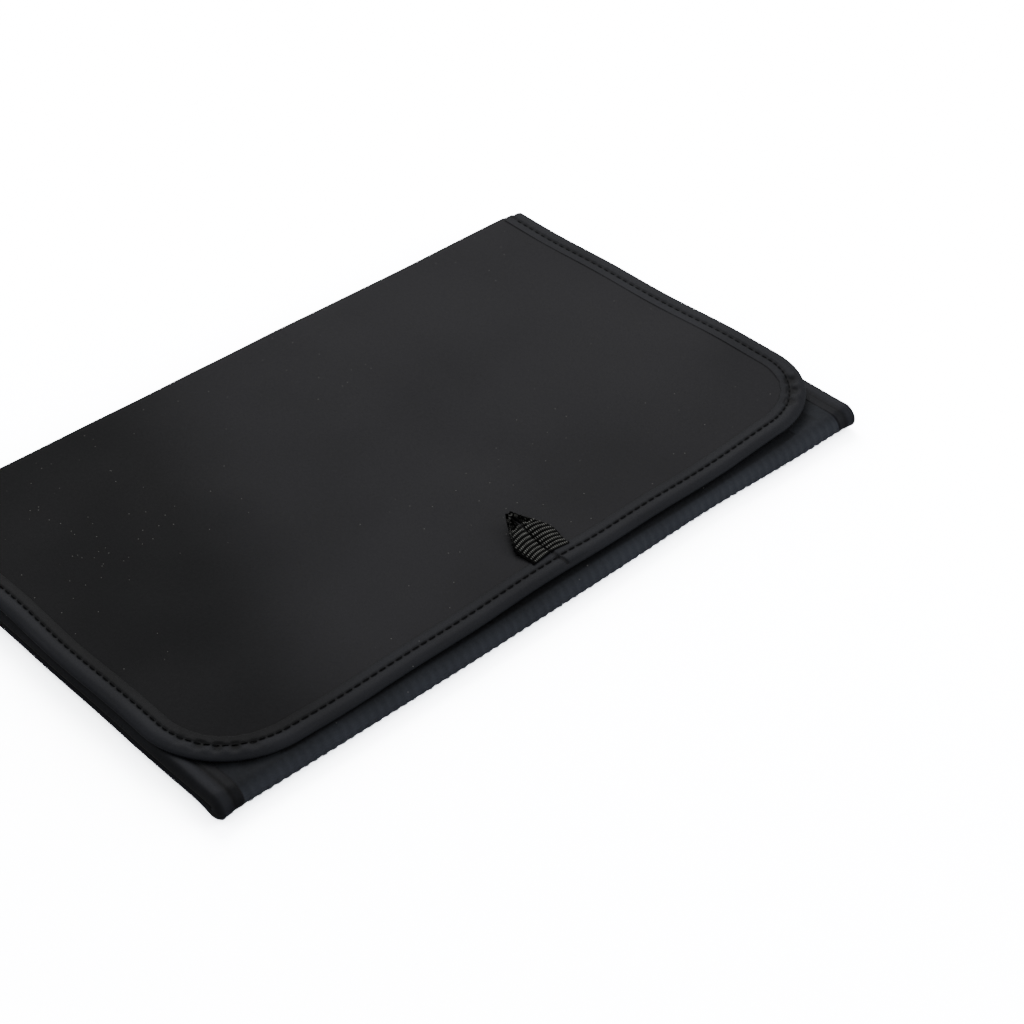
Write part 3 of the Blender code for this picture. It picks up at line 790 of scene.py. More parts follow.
# %% Stitch rows
def stitches(ends_a, ends_b, up, radius=0.2, lift=0.16):
    """One mesh of threads from each point of ends_a to the same row of ends_b, arched along up."""
    steps, sides = 7, 6
    t = np.linspace(0.0, 1.0, steps)
    centre = ends_a[:, None] + (ends_b - ends_a)[:, None] * t[None, :, None]
    arch = lift * np.sin(math.pi * t) ** 0.6 - 0.10
    centre = centre + up[:, None] * arch[None, :, None]
    along = ends_b - ends_a
    along = along / np.linalg.norm(along, axis=1, keepdims=True)
    aside = np.cross(along, up)
    aside = aside / np.linalg.norm(aside, axis=1, keepdims=True)
    turn = np.arange(sides) * 2 * math.pi / sides
    thick = radius * (0.35 + 0.65 * np.sin(math.pi * np.clip(t, 0.02, 0.98)) ** 0.4)
    ring = (np.cos(turn)[None, None, :, None] * aside[:, None, None]
            + np.sin(turn)[None, None, :, None] * up[:, None, None])
    points = centre[:, :, None] + ring * thick[None, :, None, None]
    quads = turned_round(grid_quads(steps, sides, ring=True)).reshape(-1, 4)
    caps = [[0, 1, 2, 3], [0, 3, 4, 5]]
    last = (steps - 1) * sides
    caps += [[last + 3, last + 2, last + 1, last], [last + 5, last + 4, last + 3, last]]
    faces = copies(np.vstack([quads, np.array(caps)]), steps * sides, len(ends_a))
    piece = mesh_piece("flap_binding_stitches", points.reshape(-1, 3), faces)
    return dress(piece, THREAD, "flap")


def along_edge(line, where):
    """Points of a line of the binding at given distances along the edge."""
    return np.stack([np.interp(where, edge_s, line[:, k]) for k in range(3)], -1)


def edge_stitches():
    """Threads along the binding's groove, a pitch apart, read from the same grid."""
    top_share = (STITCH_INSET - 1.1) / (BINDING_WIDTH - 1.1)
    column = round((EDGE_SHARE + (1 - EDGE_SHARE) * top_share) * (BINDING_COLUMNS - 1))
    line = binding_points[:, column]
    starts = np.arange(0.5 * STITCH_PITCH, edge_s[-1] - STITCH_PITCH, STITCH_PITCH)
    up = np.tile([0.0, 0.0, 1.0], (len(starts), 1))
    first = along_edge(line, starts + 0.45)
    second = along_edge(line, starts + STITCH_PITCH - 0.45)
    sunk = 0.14 * smooth((first[:, 0] - 100) / 20) * smooth((first[:, 1] + 60) / 20)
    first[:, 2] += 0.16 - sunk
    second[:, 2] += 0.16 - sunk
    return stitches(first, second, up)


flap_stitches = edge_stitches()
print("stitches:", len(flap_stitches.data.polygons), "faces")

# %% [markdown]
# ## The bag itself
# The folded bag is one thick strip: it runs forward under the flap, turns round the front fold and
# runs back underneath. Its middle line is two straights joined by a half turn whose radius shrinks,
# and every layer of cloth is that line moved out or in along its normal.

# %% Middle line of the bag
TOP_MID = (UPPER_LOW + UPPER_HIGH) / 2
LOW_MID = (LOWER_LOW + LOWER_HIGH) / 2
TOP_HALF = (UPPER_HIGH - UPPER_LOW) / 2
LOW_HALF = (LOWER_HIGH - LOWER_LOW) / 2
TURN_Y = FRONT_AXIS[0] + 1.3
BODY_BACK = box_mm("lower_end_seam")[1][1]


def body_line(t):
    """Middle line: t from 0 to 1 is the upper straight, 1 to 2 the half turn, 2 to 3 the lower
    straight. Returns y, z, the normal's y and z, and the half-thickness."""
    upper = np.clip(t, 0, 1)
    turn = np.clip(t - 1, 0, 1)
    lower = np.clip(t - 2, 0, 1)
    angle = math.pi * turn
    radius = (TOP_MID - FRONT_AXIS[1]) * (1 - turn) + (FRONT_AXIS[1] - LOW_MID) * turn
    straight = BODY_BACK - TURN_Y
    y = BODY_BACK - straight * upper - radius * np.sin(angle) + straight * lower
    z = FRONT_AXIS[1] + radius * np.cos(angle)
    half = TOP_HALF + (LOW_HALF - TOP_HALF) * smooth(turn)
    return y, z, -np.sin(angle), np.cos(angle), half


def body_rows(t_start, t_end, upper=110, turn=40, lower=110):
    """Values of t that are dense round the fold."""
    parts = [np.linspace(0, 1, upper, endpoint=False), np.linspace(1, 2, turn, endpoint=False),
             np.linspace(2, 3, lower)]
    t = np.concatenate(parts)
    return t[(t >= t_start) & (t <= t_end)]


def t_of_y(y):
    """The upper straight's t at a given y."""
    return (BODY_BACK - y) / (BODY_BACK - TURN_Y)


def front_bow(x):
    """How far the front fold stands back from its line: a slow bow and a fine, even crimp."""
    return (0.9 * bell(x, 78, 42) + 0.35 * np.sin(x / 31.0)
            + 0.42 * np.abs(np.sin(math.pi * x / 3.7)))


# %% [markdown]
# ### Shell cloth
# The outside of the bag is a single cloth from the zip, round the front fold and under the bag. At
# the fold its underside sags towards the table. Where it lies bare in front of the flap, and most
# round the front fold, it is painted pale and blue as a reflection of the bright floor; under the
# closed flap and in a narrow band just in front of its edge it is painted dark as the flap's shadow.

# %% Front and back cloth of the bag
def body_cloth(name, t, sign, mat, columns=190, wrinkle=0.10, sag=1.7, x_edge=147.5):
    """A cloth of the bag. sign +1 is its outer side and -1 the side inside the fold."""
    y, z, ny, nz, half = (v[:, None] for v in body_line(t))
    x = np.linspace(-x_edge, x_edge, columns)[None, :]
    near_turn = bell(y, TURN_Y - 2, 6)
    droop = sag * near_turn * smooth((1.2 - nz) / 1.6) * (sign > 0)
    waves = wrinkle * (1 + 2.2 * near_turn) * ripple(x, y + 3 * z, 31, 60.0) * (sign > 0)
    pinch = 0.12 * smooth((np.abs(x) - x_edge + 9) / 8)
    move = sign * (half + waves - pinch * (sign > 0)) + droop
    in_front = smooth((t[:, None] - 0.93) / 0.07) * smooth((2.07 - t[:, None]) / 0.07)
    py = y + ny * move + front_bow(x) * in_front
    pz = z + nz * move
    grid = np.stack([x + 0 * py, py, np.maximum(pz, 0.35)], -1)
    outward = np.stack([0 * py, sign * ny + 0 * py, sign * nz + 0 * py], -1)
    piece = dress(surface(name, grid, outward), mat)
    # Painted light: covered is painted shadow under the closed flap and in a narrow band in front of its
    # edge; the rest is painted pale as a reflection of the floor, most round the front fold, and darker
    # further back and on the underside as painted shade.
    covered = smooth((half_width_at(grid[..., 1], -0.8) - np.abs(grid[..., 0])) / 1.4)
    covered = covered * smooth((grid[..., 1] - FLAP_FRONT + 1.6) / 1.2) * (t[:, None] < 1.5)
    painted_light_mask = 0.38 + 0.14 * ripple(x, y, 33, 42.0)
    painted_light_mask = painted_light_mask + 0.52 * smooth((t[:, None] - 1.05) / 0.40) * smooth((2.15 - t[:, None]) / 0.30)
    painted_light_mask = painted_light_mask - 0.18 * smooth((y + 70) / 20) - 0.18 * smooth((t[:, None] - 1.9) / 0.2)
    keep_mask(piece, "painted_light", painted_light_mask * (1 - covered) + 0.15 * covered)
    return thicken(piece, 0.45)


front_cloth = body_cloth("bag_front_cloth", body_rows(t_of_y(ZIP_Y - 5.2), 3.0, 32, 40, 26), 1, FRONT_SHELL,
                         columns=440)
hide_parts("upper_top_front_panel", "front_fold", "lower_outer_panel")
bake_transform(front_cloth)

back_cloth = body_cloth("bag_back_cloth", body_rows(0.0, 3.0, 50, 12, 50), -1, SHELL, columns=80,
                        wrinkle=0.0, sag=0.0)
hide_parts("upper_underside_panel", "lower_inner_panel")
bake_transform(back_cloth)
print("bag cloth:", len(front_cloth.data.polygons), "faces")

# %% [markdown]
# ### Side bindings
# The bag's two sides are bound like the flap: a tape round all its layers. Its section wraps from
# the outer cloth round the edge to the inner cloth and is carried along the middle line. It is cut
# into an upper, a fold and a lower piece, so that each half moves with its own body.

# %% Side bindings
def side_tape(name, side, t):
    """A U that wraps the bag's edge at one side, along the middle line for the given t."""
    t = np.sort(np.concatenate([t, [t[0] + 0.0006, t[-1] - 0.0006]]))
    y, z, ny, nz, half = (v[:, None] for v in body_line(t))
    q = np.linspace(0.0, 1.0, 40)[None, :]
    leg = 0.36
    turn = math.pi * np.clip((q - leg) / (1 - 2 * leg), 0, 1)
    into = np.where(q < leg, 10.0 - 8.4 * q / leg,
                    np.where(q > 1 - leg, 1.6 + 8.4 * (q - 1 + leg) / leg, 1.6 - 1.6 * np.sin(turn)))
    over = half + 0.32 + (0.22 + 0.14 * (side < 0)) * np.sin(math.pi * np.clip(into / 5.5, 0, 1))
    over = over - 0.24 * smooth((into - STITCH_INSET - 0.8) / 2.4)
    stitch = 0.28 * bell(into, STITCH_INSET, 0.8)
    puff = 1 + 0.14 * (side < 0) * bell(y, -70, 14) - 0.05 * bell(y, -84, 5.0)
    across = (over * puff - stitch) * np.cos(turn)
    wave = 0.35 * ripple(y, z, 40 + side, 45.0)
    x = side * (HALF - 0.2 - into + wave * (into < 4))
    near_turn = bell(y, TURN_Y - 2, 6)
    droop = 1.5 * near_turn * smooth((1.2 - nz) / 1.6) * (np.cos(turn) > 0)
    move = across + droop
    in_front = smooth((t[:, None] - 0.93) / 0.07) * smooth((2.07 - t[:, None]) / 0.07)
    py = y + ny * move + front_bow(x) * in_front
    pz = z + nz * move
    grid = np.stack([x + 0 * py, py, np.maximum(pz, 0.3)], -1)
    away = np.stack([side * np.sin(turn) + 0 * py, ny * np.cos(turn), nz * np.cos(turn)], -1)
    piece = surface(name, grid, away)
    # Painted light on the tape: the top roll is painted pale as a highlight, the right tape paler than the
    # left; the stitch groove, the left tape's outer face and the part by the flap's edge are painted dark as
    # shade and shadow.
    on_roll = bell(into, 3.4, 2.4) * (np.cos(turn) > 0)
    front_end = smooth((-78 - y) / 8)
    painted_light_mask = 0.20 + 0.16 * (side > 0) + 0.50 * on_roll + 0.10 * ripple(y, into, 45 + side, 26.0)
    painted_light_mask = painted_light_mask - 0.30 * bell(into, 6.4, 0.8)
    painted_light_mask = painted_light_mask * (1 - 0.8 * np.sin(turn) ** 2 * (1 - 0.5 * front_end) * (side < 0))
    under_flap = smooth((half_width_at(grid[..., 1], -1.2) - np.abs(grid[..., 0])) / 1.4)
    under_flap = under_flap * smooth((grid[..., 1] - FLAP_FRONT + 2.0) / 1.0) * (np.cos(turn) > 0)
    keep_mask(piece, "painted_light", np.clip(painted_light_mask, 0.02, 1) * (1 - under_flap) + 0.25 * under_flap)
    return thicken(dress(piece, EDGE_TAPE), 0.3)


FOLD_FROM, FOLD_TO = 0.98, 2.03             # the fold piece, along the middle line
side_pieces = []
for label, side in (("left", -1), ("right", 1)):
    upper = side_tape(f"bag_binding_{label}_upper", side, body_rows(0.0, 0.985, 200))
    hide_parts(f"upper_side_binding_{label}")
    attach(upper, "upper_section")
    turn = side_tape(f"bag_binding_{label}_fold", side, np.linspace(FOLD_FROM, FOLD_TO, 44))
    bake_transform(turn)
    lower = side_tape(f"bag_binding_{label}_lower", side, body_rows(2.025, 3.0, 1, 1, 200))
    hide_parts(f"lower_side_binding_{label}")
    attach(lower, "lower_section")
    side_pieces += [upper, turn, lower]
print("side bindings:", [p.name for p in side_pieces])

# %% [markdown]
# ## Pull tab
# The tab is one length of ribbed webbing, folded over at its tip so that its two legs lie side by
# side, and caught under the binding. Its two legs are mirror images, each a grid between the outer
# edge and the seam between them. The ribs are real ridges made of small beads, and a mask of them
# is kept on the points: the crests are painted pale as a sheen on the threads, and the grooves, the
# outer edges and the tip are painted dark as shade.

# %% Webbing finish
def webbing_material():
    """Painted light: rib crests painted pale as a sheen on the threads and grooves painted dark as shade, by
    the mask that the mesh carries.
    """
    mat, tree, shader, where = new_material("tab_webbing")
    rib = tree.nodes.new("ShaderNodeAttribute")
    rib.attribute_name = "rib"
    wear = use_group(tree, WEAR, where, Scale=500.0, Contrast=2.0)
    uneven = math_node(tree, "MULTIPLY", rib.outputs["Fac"],
                       math_node(tree, "ADD", wear.outputs["Patch"], 0.75))
    # Painted highlight on the crests, painted shade in the grooves; the wear noise makes it uneven.
    color = mix_color(tree, uneven, (0.0012, 0.0012, 0.0012), (0.55, 0.55, 0.50))
    tree.links.new(color, shader.inputs["Base Color"])
    weave = use_group(tree, WEAVE, where, Threads_per_metre=4200.0, Unevenness=0.5)
    add_bump(tree, math_node(tree, "MULTIPLY", weave.outputs["Height"], 0.08), shader)
    shader.inputs["Roughness"].default_value = 0.75
    shader.inputs["Specular IOR Level"].default_value = 0.12
    return mat


WEBBING = webbing_material()

# %% Tab legs
TAB_LOW, TAB_HIGH = box_mm("pull_tab")
TAB_X = (TAB_LOW[0] + TAB_HIGH[0]) / 2 - 0.9
RIB_PITCH = 1.72
BEAD_PITCH = 0.78


def tab_leg(name, side):
    """One leg: rows from the binding to the tip, columns from the outer edge to the middle seam."""
    rows, columns = 190, 84
    v = np.linspace(0.0, 1.0, rows)[:, None]
    u = np.linspace(0.0, 1.0, columns)[None, :]
    length = TAB_HIGH[1] - TAB_LOW[1] + 1.6
    shoulder = 0.40
    narrow = 0.9 if side > 0 else 0.97
    outer = np.where(v < shoulder, 9.0 + 1.0 * smooth(v / shoulder),
                     10.0 * np.clip(1 - (v - shoulder) / (1 - shoulder), 0, 1) ** 0.92 + 0.5 * (v - shoulder))
    outer = narrow * outer
    inner = 0.22 + 0.10 * bell(v, 0.62, 0.18)
    x = side * (outer + (inner - outer) * u)
    y = TAB_LOW[1] - 1.2 + length * v - 0.9 * (1 - u) * bell(v, 0.0, 0.3)
    rise = 3.9 * smooth(v * 0.92) + 0.4 * v
    roof = 1.2 * np.sin(math.pi * np.clip(u * 0.85 + 0.12, 0, 1)) - 0.8
    hollow = -1.5 * smooth((v - 0.55) / 0.2) * bell(u, 0.42, 0.24) * smooth((1.02 - v) / 0.1)
    fold_edge = 0.45 * smooth((v - 0.4) / 0.1) * bell(u, 0.0, 0.10)
    across = x * side
    phase = (y * math.cos(0.17) + across * math.sin(0.17)) / RIB_PITCH
    crest = (0.5 + 0.5 * np.cos(2 * math.pi * phase)) ** 2.2
    bead = 0.42 + 0.58 * np.cos(2 * math.pi * (across / BEAD_PITCH + 0.5 * np.floor(phase + 0.5)))
    selvedge = smooth(u / 0.07) * smooth((1 - u) / 0.06)
    rib = crest * bead * (0.35 + 0.65 * selvedge)
    hide = smooth((v - 0.02) / 0.05)
    base = flap_height(TAB_X + x, np.minimum(y, TAB_LOW[1] + 3.0)) + 0.75
    z = base + rise + roof * hide + hollow + fold_edge + 0.42 * rib
    grid = np.stack([TAB_X + x, y + 0 * x, z], -1)
    piece = surface(name, grid, (0.0, 0.0, 1.0))
    # The mask is painted light: rib crests pale as painted sheen; the outer edges, wider on the left leg, and
    # the tip dark as painted shade; a thin pale line along the outer edge near the tip as a painted
    # highlight.
    wall = smooth((u - 0.04) / 0.15) if side < 0 else smooth((u - 0.01) / 0.08)
    shade = rib ** 1.3 * wall * (1 - smooth((v - 0.66) / 0.14))
    shade = shade + 0.22 * bell(u, 0.0, 0.035) * smooth((v - 0.42) / 0.2)
    keep_mask(piece, "rib", shade)
    return thicken(dress(piece, WEBBING, "pull_tab"), 1.1)


tab_legs = [tab_leg("pull_tab_leg_left", -1), tab_leg("pull_tab_leg_right", 1)]
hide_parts("pull_tab")
print("tab:", sum(len(p.data.polygons) for p in tab_legs), "faces")

# %% [markdown]
# ## Sleeves
# Each sleeve is a tapering tube, pressed flat and turned under the bag. Its ring is a flattened
# oval; towards the wrist the elastic draws it in, so lengthwise gathers grow there, and the cuff
# is a band of tight ruffles. A short web of cloth joins each sleeve to the end of the bag.

# %% Sleeves and cuffs
CUFF_HEM = 8.0                              # how far the cuff's free end is turned in


def flat_tube(name, centre_x, y, half_width, low, high, ruffle, seed, ring=160, pitch=3.9, inner=0.0):
    """A tube along Y with a flattened ring. ruffle is the gathers' height for each row, pitch the
    distance between them, and inner how far each row lies inside the outer wall."""
    q = np.linspace(0.0, 2 * math.pi, ring, endpoint=False)[None, :]
    c, s = np.cos(q), np.sin(q)
    x_unit = np.sign(c) * np.abs(c) ** 0.55
    z_unit = np.sign(s) * np.abs(s) ** 0.35
    width = half_width[:, None]
    mid, half = (low + high) / 2, (high - low) / 2
    gather = np.sin(2 * math.pi * (x_unit * width / pitch + 0.15 * np.sin(y[:, None] / 5.0) + seed))
    gather = 0.65 * gather + 0.35 * ripple(x_unit * width, y[:, None], seed, 14.0)
    lift = ruffle[:, None] * gather * np.abs(s) ** 0.6
    soft = 0.10 * ripple(x_unit * width, y[:, None], seed + 5, 40.0)
    z = mid + (half - 0.12 - inner) * z_unit + lift * 0.5 + soft * z_unit
    x = centre_x + width * x_unit + 0.4 * ruffle[:, None] * np.cos(q * 3)
    grid = np.stack([x, y[:, None] + 0 * x, np.clip(z, low + 0.03, high + 0.1)], -1)
    out = np.stack([c + 0 * x, 0 * x, s + 0 * x], -1)
    return thicken(surface(name, grid, out, ring=True), 0.28)


for label in ("left", "right"):
    under_low, under_high = box_mm(f"sleeve_{label}_under_layer")
    over_high = box_mm(f"sleeve_{label}_over_layer")[1]
    cuff_low, cuff_high = box_mm(f"cuff_{label}_under_half")
    middle = (under_low[0] + under_high[0]) / 2
    root_half = (under_high[0] - under_low[0]) / 2
    cuff_half = (cuff_high[0] - cuff_low[0]) / 2
    y = np.linspace(under_high[1], cuff_high[1] - 0.6, 150)
    share = (under_high[1] - y) / (under_high[1] - under_low[1])
    half_width = root_half + (cuff_half + 2.5 - root_half) * share ** 1.15
    tube = flat_tube(f"sleeve_{label}", middle, y, half_width, under_low[2], over_high[2],
                     0.9 * smooth((share - 0.62) / 0.38), 3 if label == "left" else 8)
    dress(tube, SHELL, f"sleeve_{label}",
          (f"sleeve_{label}_under_layer", f"sleeve_{label}_over_layer"))
    outside = np.linspace(cuff_high[1] + 0.4, cuff_low[1], 30)
    inside = np.linspace(cuff_low[1] + 0.3, cuff_low[1] + CUFF_HEM, 10)
    y = np.concatenate([outside, inside])
    turned = np.concatenate([0 * outside, np.ones(len(inside))])
    share = (cuff_high[1] - y) / (cuff_high[1] - cuff_low[1])
    drawn = cuff_half - 1.6 * np.sin(math.pi * np.clip(share, 0, 1)) ** 0.5
    drawn = drawn + 1.8 * smooth((share - 0.8) / 0.2) - 0.6 * turned
    full = (1.1 + 0.1 * np.sin(share * 9)) * (1 - 0.5 * turned)
    cuff = flat_tube(f"cuff_{label}", middle, y, drawn, cuff_low[2], over_high[2], full,
                     4 if label == "left" else 9, ring=720, pitch=1.8, inner=(0.24 + 0.26 * turned)[:, None])
    dress(cuff, CUFF, f"sleeve_{label}",
          (f"cuff_{label}_under_half", f"cuff_{label}_over_half"))
    rows = np.linspace(0.0, 1.0, 26)[:, None]
    x = middle + np.linspace(-root_half + 1, root_half - 1, 60)[None, :]
    web_y = under_high[1] - 2.0 + 5.2 * np.sin(math.pi * rows) ** 0.7 + 0.15 * np.sin(x / 6.0)
    web_z = LOWER_LOW - 0.02 - (LOWER_LOW - over_high[2] + 0.25) * rows + 0 * x
    web = surface(f"sleeve_web_{label}", np.stack([x + 0 * web_y, web_y, web_z], -1), (0.0, 1.0, 0.0))
    thicken(dress(web, SHELL), 0.2, 0.0)
    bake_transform(web)
    print("sleeve:", label, len(tube.data.polygons) + len(cuff.data.polygons), "faces")

# %% [markdown]
# ## Zips
# A coil zip is two tapes with a nylon spiral sewn along each inner edge, which mesh as one chain.
# Each spiral is a helix of flattened turns, worked out for every turn at once. The sliders are
# stacks of rounded outlines, from the middle of the underside to the middle of the top.

# %% Rounded blocks
def stacked_block(name, outline, heights, insets, mat, body, shows=()):
    """A closed solid: one outline repeated at each height and shrunk by its inset, with both ends
    closed by a fan to the middle."""
    centre = outline.mean(axis=0)
    reach = np.linalg.norm(outline - centre, axis=1, keepdims=True)
    rings = [np.hstack([centre + (outline - centre) * (1 - inset / reach), np.full((len(outline), 1), z)])
             for z, inset in zip(heights, insets)]
    count = len(outline)
    points = np.vstack([*rings, [[*centre, heights[0]]], [[*centre, heights[-1]]]])
    quads = turned_round(grid_quads(len(rings), count, ring=True))
    mesh = bpy.data.meshes.new(name)
    bottom, top = len(points) - 2, len(points) - 1
    faces = [tuple(f) for f in quads.reshape(-1, 4).tolist()]
    faces += [(bottom, b, a) for a, b, _, _ in quads[0].tolist()]
    faces += [(top, a, b) for _, _, b, a in quads[-1].tolist()]
    mesh.from_pydata((points * MM).tolist(), [], faces)
    mesh.shade_smooth()
    mesh.set_sharp_from_angle(angle=math.radians(25))
    piece = bpy.data.objects.new(name, mesh)
    bpy.context.scene.collection.objects.link(piece)
    return dress(piece, mat, body, shows)


def rounded_outline(low, high, radius, steps=6):
    """A rectangle with round corners, counter-clockwise."""
    a = np.linspace(0, math.pi / 2, steps)
    corner = np.stack([np.cos(a), np.sin(a)], -1) * radius
    turns = []
    for k, (cx, cy) in enumerate(((high[0] - radius, high[1] - radius), (low[0] + radius, high[1] - radius),
                                  (low[0] + radius, low[1] + radius), (high[0] - radius, low[1] + radius))):
        c, s = math.cos(k * math.pi / 2), math.sin(k * math.pi / 2)
        turns.append(corner @ np.array([[c, s], [-s, c]]) + (cx, cy))
    return np.vstack(turns)


def metal_material():
    """Black enamel that has worn to grey metal on its high spots."""
    mat, tree, shader, where = new_material("zip_metal")
    wear = use_group(tree, WEAR, where, Scale=160.0, Contrast=1.6)
    worn = ramp_node(tree, wear.outputs["Patch"], 0.62, 0.8)
    tree.links.new(mix_color(tree, worn, (0.018, 0.018, 0.019), (0.16, 0.155, 0.15)),
                   shader.inputs["Base Color"])
    tree.links.new(worn, shader.inputs["Metallic"])
    tree.links.new(math_node(tree, "ADD", math_node(tree, "MULTIPLY", wear.outputs["Grain"], 0.2), 0.25),
                   shader.inputs["Roughness"])
    add_bump(tree, math_node(tree, "MULTIPLY", wear.outputs["Grain"], 0.03), shader)
    return mat


METAL = metal_material()
COIL = cloth("zip_coil", (0.014, 0.014, 0.014), (0.024, 0.024, 0.024), 0.32, threads=6000, weave_depth=0.01)

# %% Tapes, coils, stops, sliders and pulls
COIL_PITCH = 1.25
TAPE_SEWN = 3.5                             # tape that is sewn in, under the cloth beside it


def coil_row(name, low, high, sign):
    """A helix along X squeezed into the row's box: each turn goes up at the inner edge and back."""
    turns = int((high[0] - low[0]) / COIL_PITCH)
    steps, sides = 10, 5
    t = np.arange(turns * steps + 1) / steps
    angle = 2 * math.pi * t
    x = low[0] + t * COIL_PITCH
    mid_y, mid_z = (low[1] + high[1]) / 2, (low[2] + high[2]) / 2
    radius = 0.2
    y = mid_y + sign * ((high[1] - low[1]) / 2 - radius + 0.08) * np.cos(angle)
    z = mid_z + ((high[2] - low[2]) / 2 - radius + 0.28) * np.sin(angle)
    line = np.stack([x, y, z], -1)
    tangent = np.gradient(line, axis=0)
    tangent /= np.linalg.norm(tangent, axis=1, keepdims=True)
    side_way = np.cross(tangent, [1.0, 0.0, 0.0])
    side_way /= np.linalg.norm(side_way, axis=1, keepdims=True)
    other = np.cross(tangent, side_way)
    turn = np.arange(sides) * 2 * math.pi / sides
    ring = (side_way[:, None] * np.cos(turn)[None, :, None] + other[:, None] * np.sin(turn)[None, :, None])
    grid = line[:, None] + radius * ring
    return surface(name, grid, ring, ring=True)


def slider_outline(x, y, sign):
    """A wedge 10 mm long with a round nose, pointing along sign."""
    a = np.linspace(-math.pi / 2, math.pi / 2, 10)
    nose = np.stack([5.0 + 2.0 * np.cos(a), 2.0 * np.sin(a)], -1)
    tail = np.array([[4.0, 2.2], [2.2, 3.9], [-4.0, 4.0], [-5.0, 3.2], [-5.0, -3.2], [-4.0, -4.0],
                     [2.2, -3.9], [4.0, -2.2]])
    shape = np.vstack([nose, tail])
    return shape * sign + (x, y)


def zip_fastener(label, sign):
    """Every piece of one zip; sign is the way its slider travels to open."""
    for side, way in (("front", -1), ("rear", 1)):
        low, high = box_mm(f"{label}_zip_tape_{side}")
        x = np.linspace(low[0], high[0], 180)[:, None]
        coil_edge, sewn_edge = (high[1], low[1]) if way < 0 else (low[1], high[1])
        y = np.linspace(coil_edge, sewn_edge + way * TAPE_SEWN, 24)[None, :]
        under = smooth(((y - sewn_edge) * way + 2.4) / 1.6)
        z = high[2] + 0.05 * np.sin(x / 9.0) - 0.52 * under
        tape = surface(f"{label}_zip_tape_cloth_{side}", np.stack([x + 0 * y, y + 0 * x, z], -1), (0, 0, 1.0))
        thicken(tape, 0.25)
        dress(tape, ZIP_TAPE, "upper_section", (f"{label}_zip_tape_{side}",))
        low, high = box_mm(f"{label}_zip_coil_{side}")
        coil = coil_row(f"{label}_zip_spiral_{side}", low, high, way)
        dress(coil, COIL, "upper_section", (f"{label}_zip_coil_{side}",))
    for side in ("left", "right"):
        low, high = box_mm(f"{label}_zip_stop_{side}")
        stacked_block(f"{label}_zip_end_stop_{side}", rounded_outline(low, high, 0.7),
                      [low[2], low[2] + 0.1, high[2] - 0.1, high[2]], [0.15, 0, 0, 0.15], METAL,
                      "upper_section", (f"{label}_zip_stop_{side}",))
    low, high = box_mm(f"{label}_zip_slider")
    x = (low[0] + 5.0) if sign > 0 else (high[0] - 5.0)
    y = (low[1] + high[1]) / 2
    cap_low = high[2] - 0.4
    stacked_block(f"{label}_zip_slider_cap", slider_outline(x, y, sign),
                  [cap_low, cap_low + 0.1, high[2] - 0.16, high[2] - 0.04, high[2]],
                  [0.2, 0.0, 0.0, 0.18, 0.5], METAL, f"{label}_zip_slider",
                  (f"{label}_zip_slider",))
    for side, way in (("front", -1), ("rear", 1)):
        edges = sorted((y + way * 2.9, y + way * 3.75))
        ends = sorted((x - sign * 4.0, x + sign * 2.0))
        stacked_block(f"{label}_zip_slider_flange_{side}",
                      rounded_outline((ends[0], edges[0]), (ends[1], edges[1]), 0.35, 4),
                      [low[2], low[2] + 0.12, cap_low + 0.1], [0.15, 0, 0], METAL,
                      f"{label}_zip_slider")
    low, high = box_mm(f"{label}_zip_pull")
    root = low[0] if sign > 0 else high[0]
    tip = high[0] if sign > 0 else low[0]
    a = np.linspace(-math.pi / 2, math.pi / 2, 14)
    half = (high[1] - low[1]) / 2
    end = np.stack([abs(tip - root) - half + half * np.cos(a), half * np.sin(a)], -1)
    notch_angle = np.linspace(math.radians(75), math.radians(-75), 9)
    notch = np.stack([2.3 * np.cos(notch_angle) - 0.6, 2.3 * np.sin(notch_angle)], -1)
    leaf = np.vstack([end, [[6.0, half * 0.82], [1.2, half]], notch, [[1.2, -half], [6.0, -half * 0.82]]])
    leaf = leaf * sign + (root, y)
    stacked_block(f"{label}_zip_pull_leaf", leaf, [low[2], low[2] + 0.08, high[2] - 0.1, high[2]],
                  [0.12, 0, 0, 0.16], METAL, f"{label}_zip_pull", (f"{label}_zip_pull",))


zip_fastener("outer", 1)
zip_fastener("inner", -1)

# %% [markdown]
# ## Layers inside
# The liner and the strips of cloth beside the zips lie between the layers that show. Each is a soft
# sheet that fills its plate's place, so that the bag looks right when it is opened.

# %% Inner cloths
def half_turn(top, bottom):
    """Length of cloth round a fold: half a circle on the height between its two faces."""
    return math.pi / 2 * (top - bottom)


def liner_layer(name, node, body, seed, thickness=0.3):
    """A slightly wavy sheet of lining with the outline and the height of a CAD plate."""
    low, high = box_mm(node)
    x = np.linspace(low[0], high[0], 110)[:, None]
    y = np.linspace(low[1], high[1], 60)[None, :]
    wave = 0.08
    z = high[2] - wave + wave * ripple(x, y, seed, 50.0)
    grid = np.stack([x + 0 * y, y + 0 * x, z], -1)
    piece = surface(name, grid, (0.0, 0.0, 1.0))
    return thicken(dress(piece, LINING, body, (node,)), thickness)


layers = [
    liner_layer("liner_under_cloth", "liner_bottom_panel", "upper_section", 51),
    liner_layer("liner_front_cloth", "liner_top_front_panel", "upper_section", 52),
    liner_layer("liner_rear_cloth", "liner_top_rear_panel", "upper_section", 53),
    liner_layer("lower_liner_cloth", "lower_liner", "lower_section", 55, thickness=0.7),
]


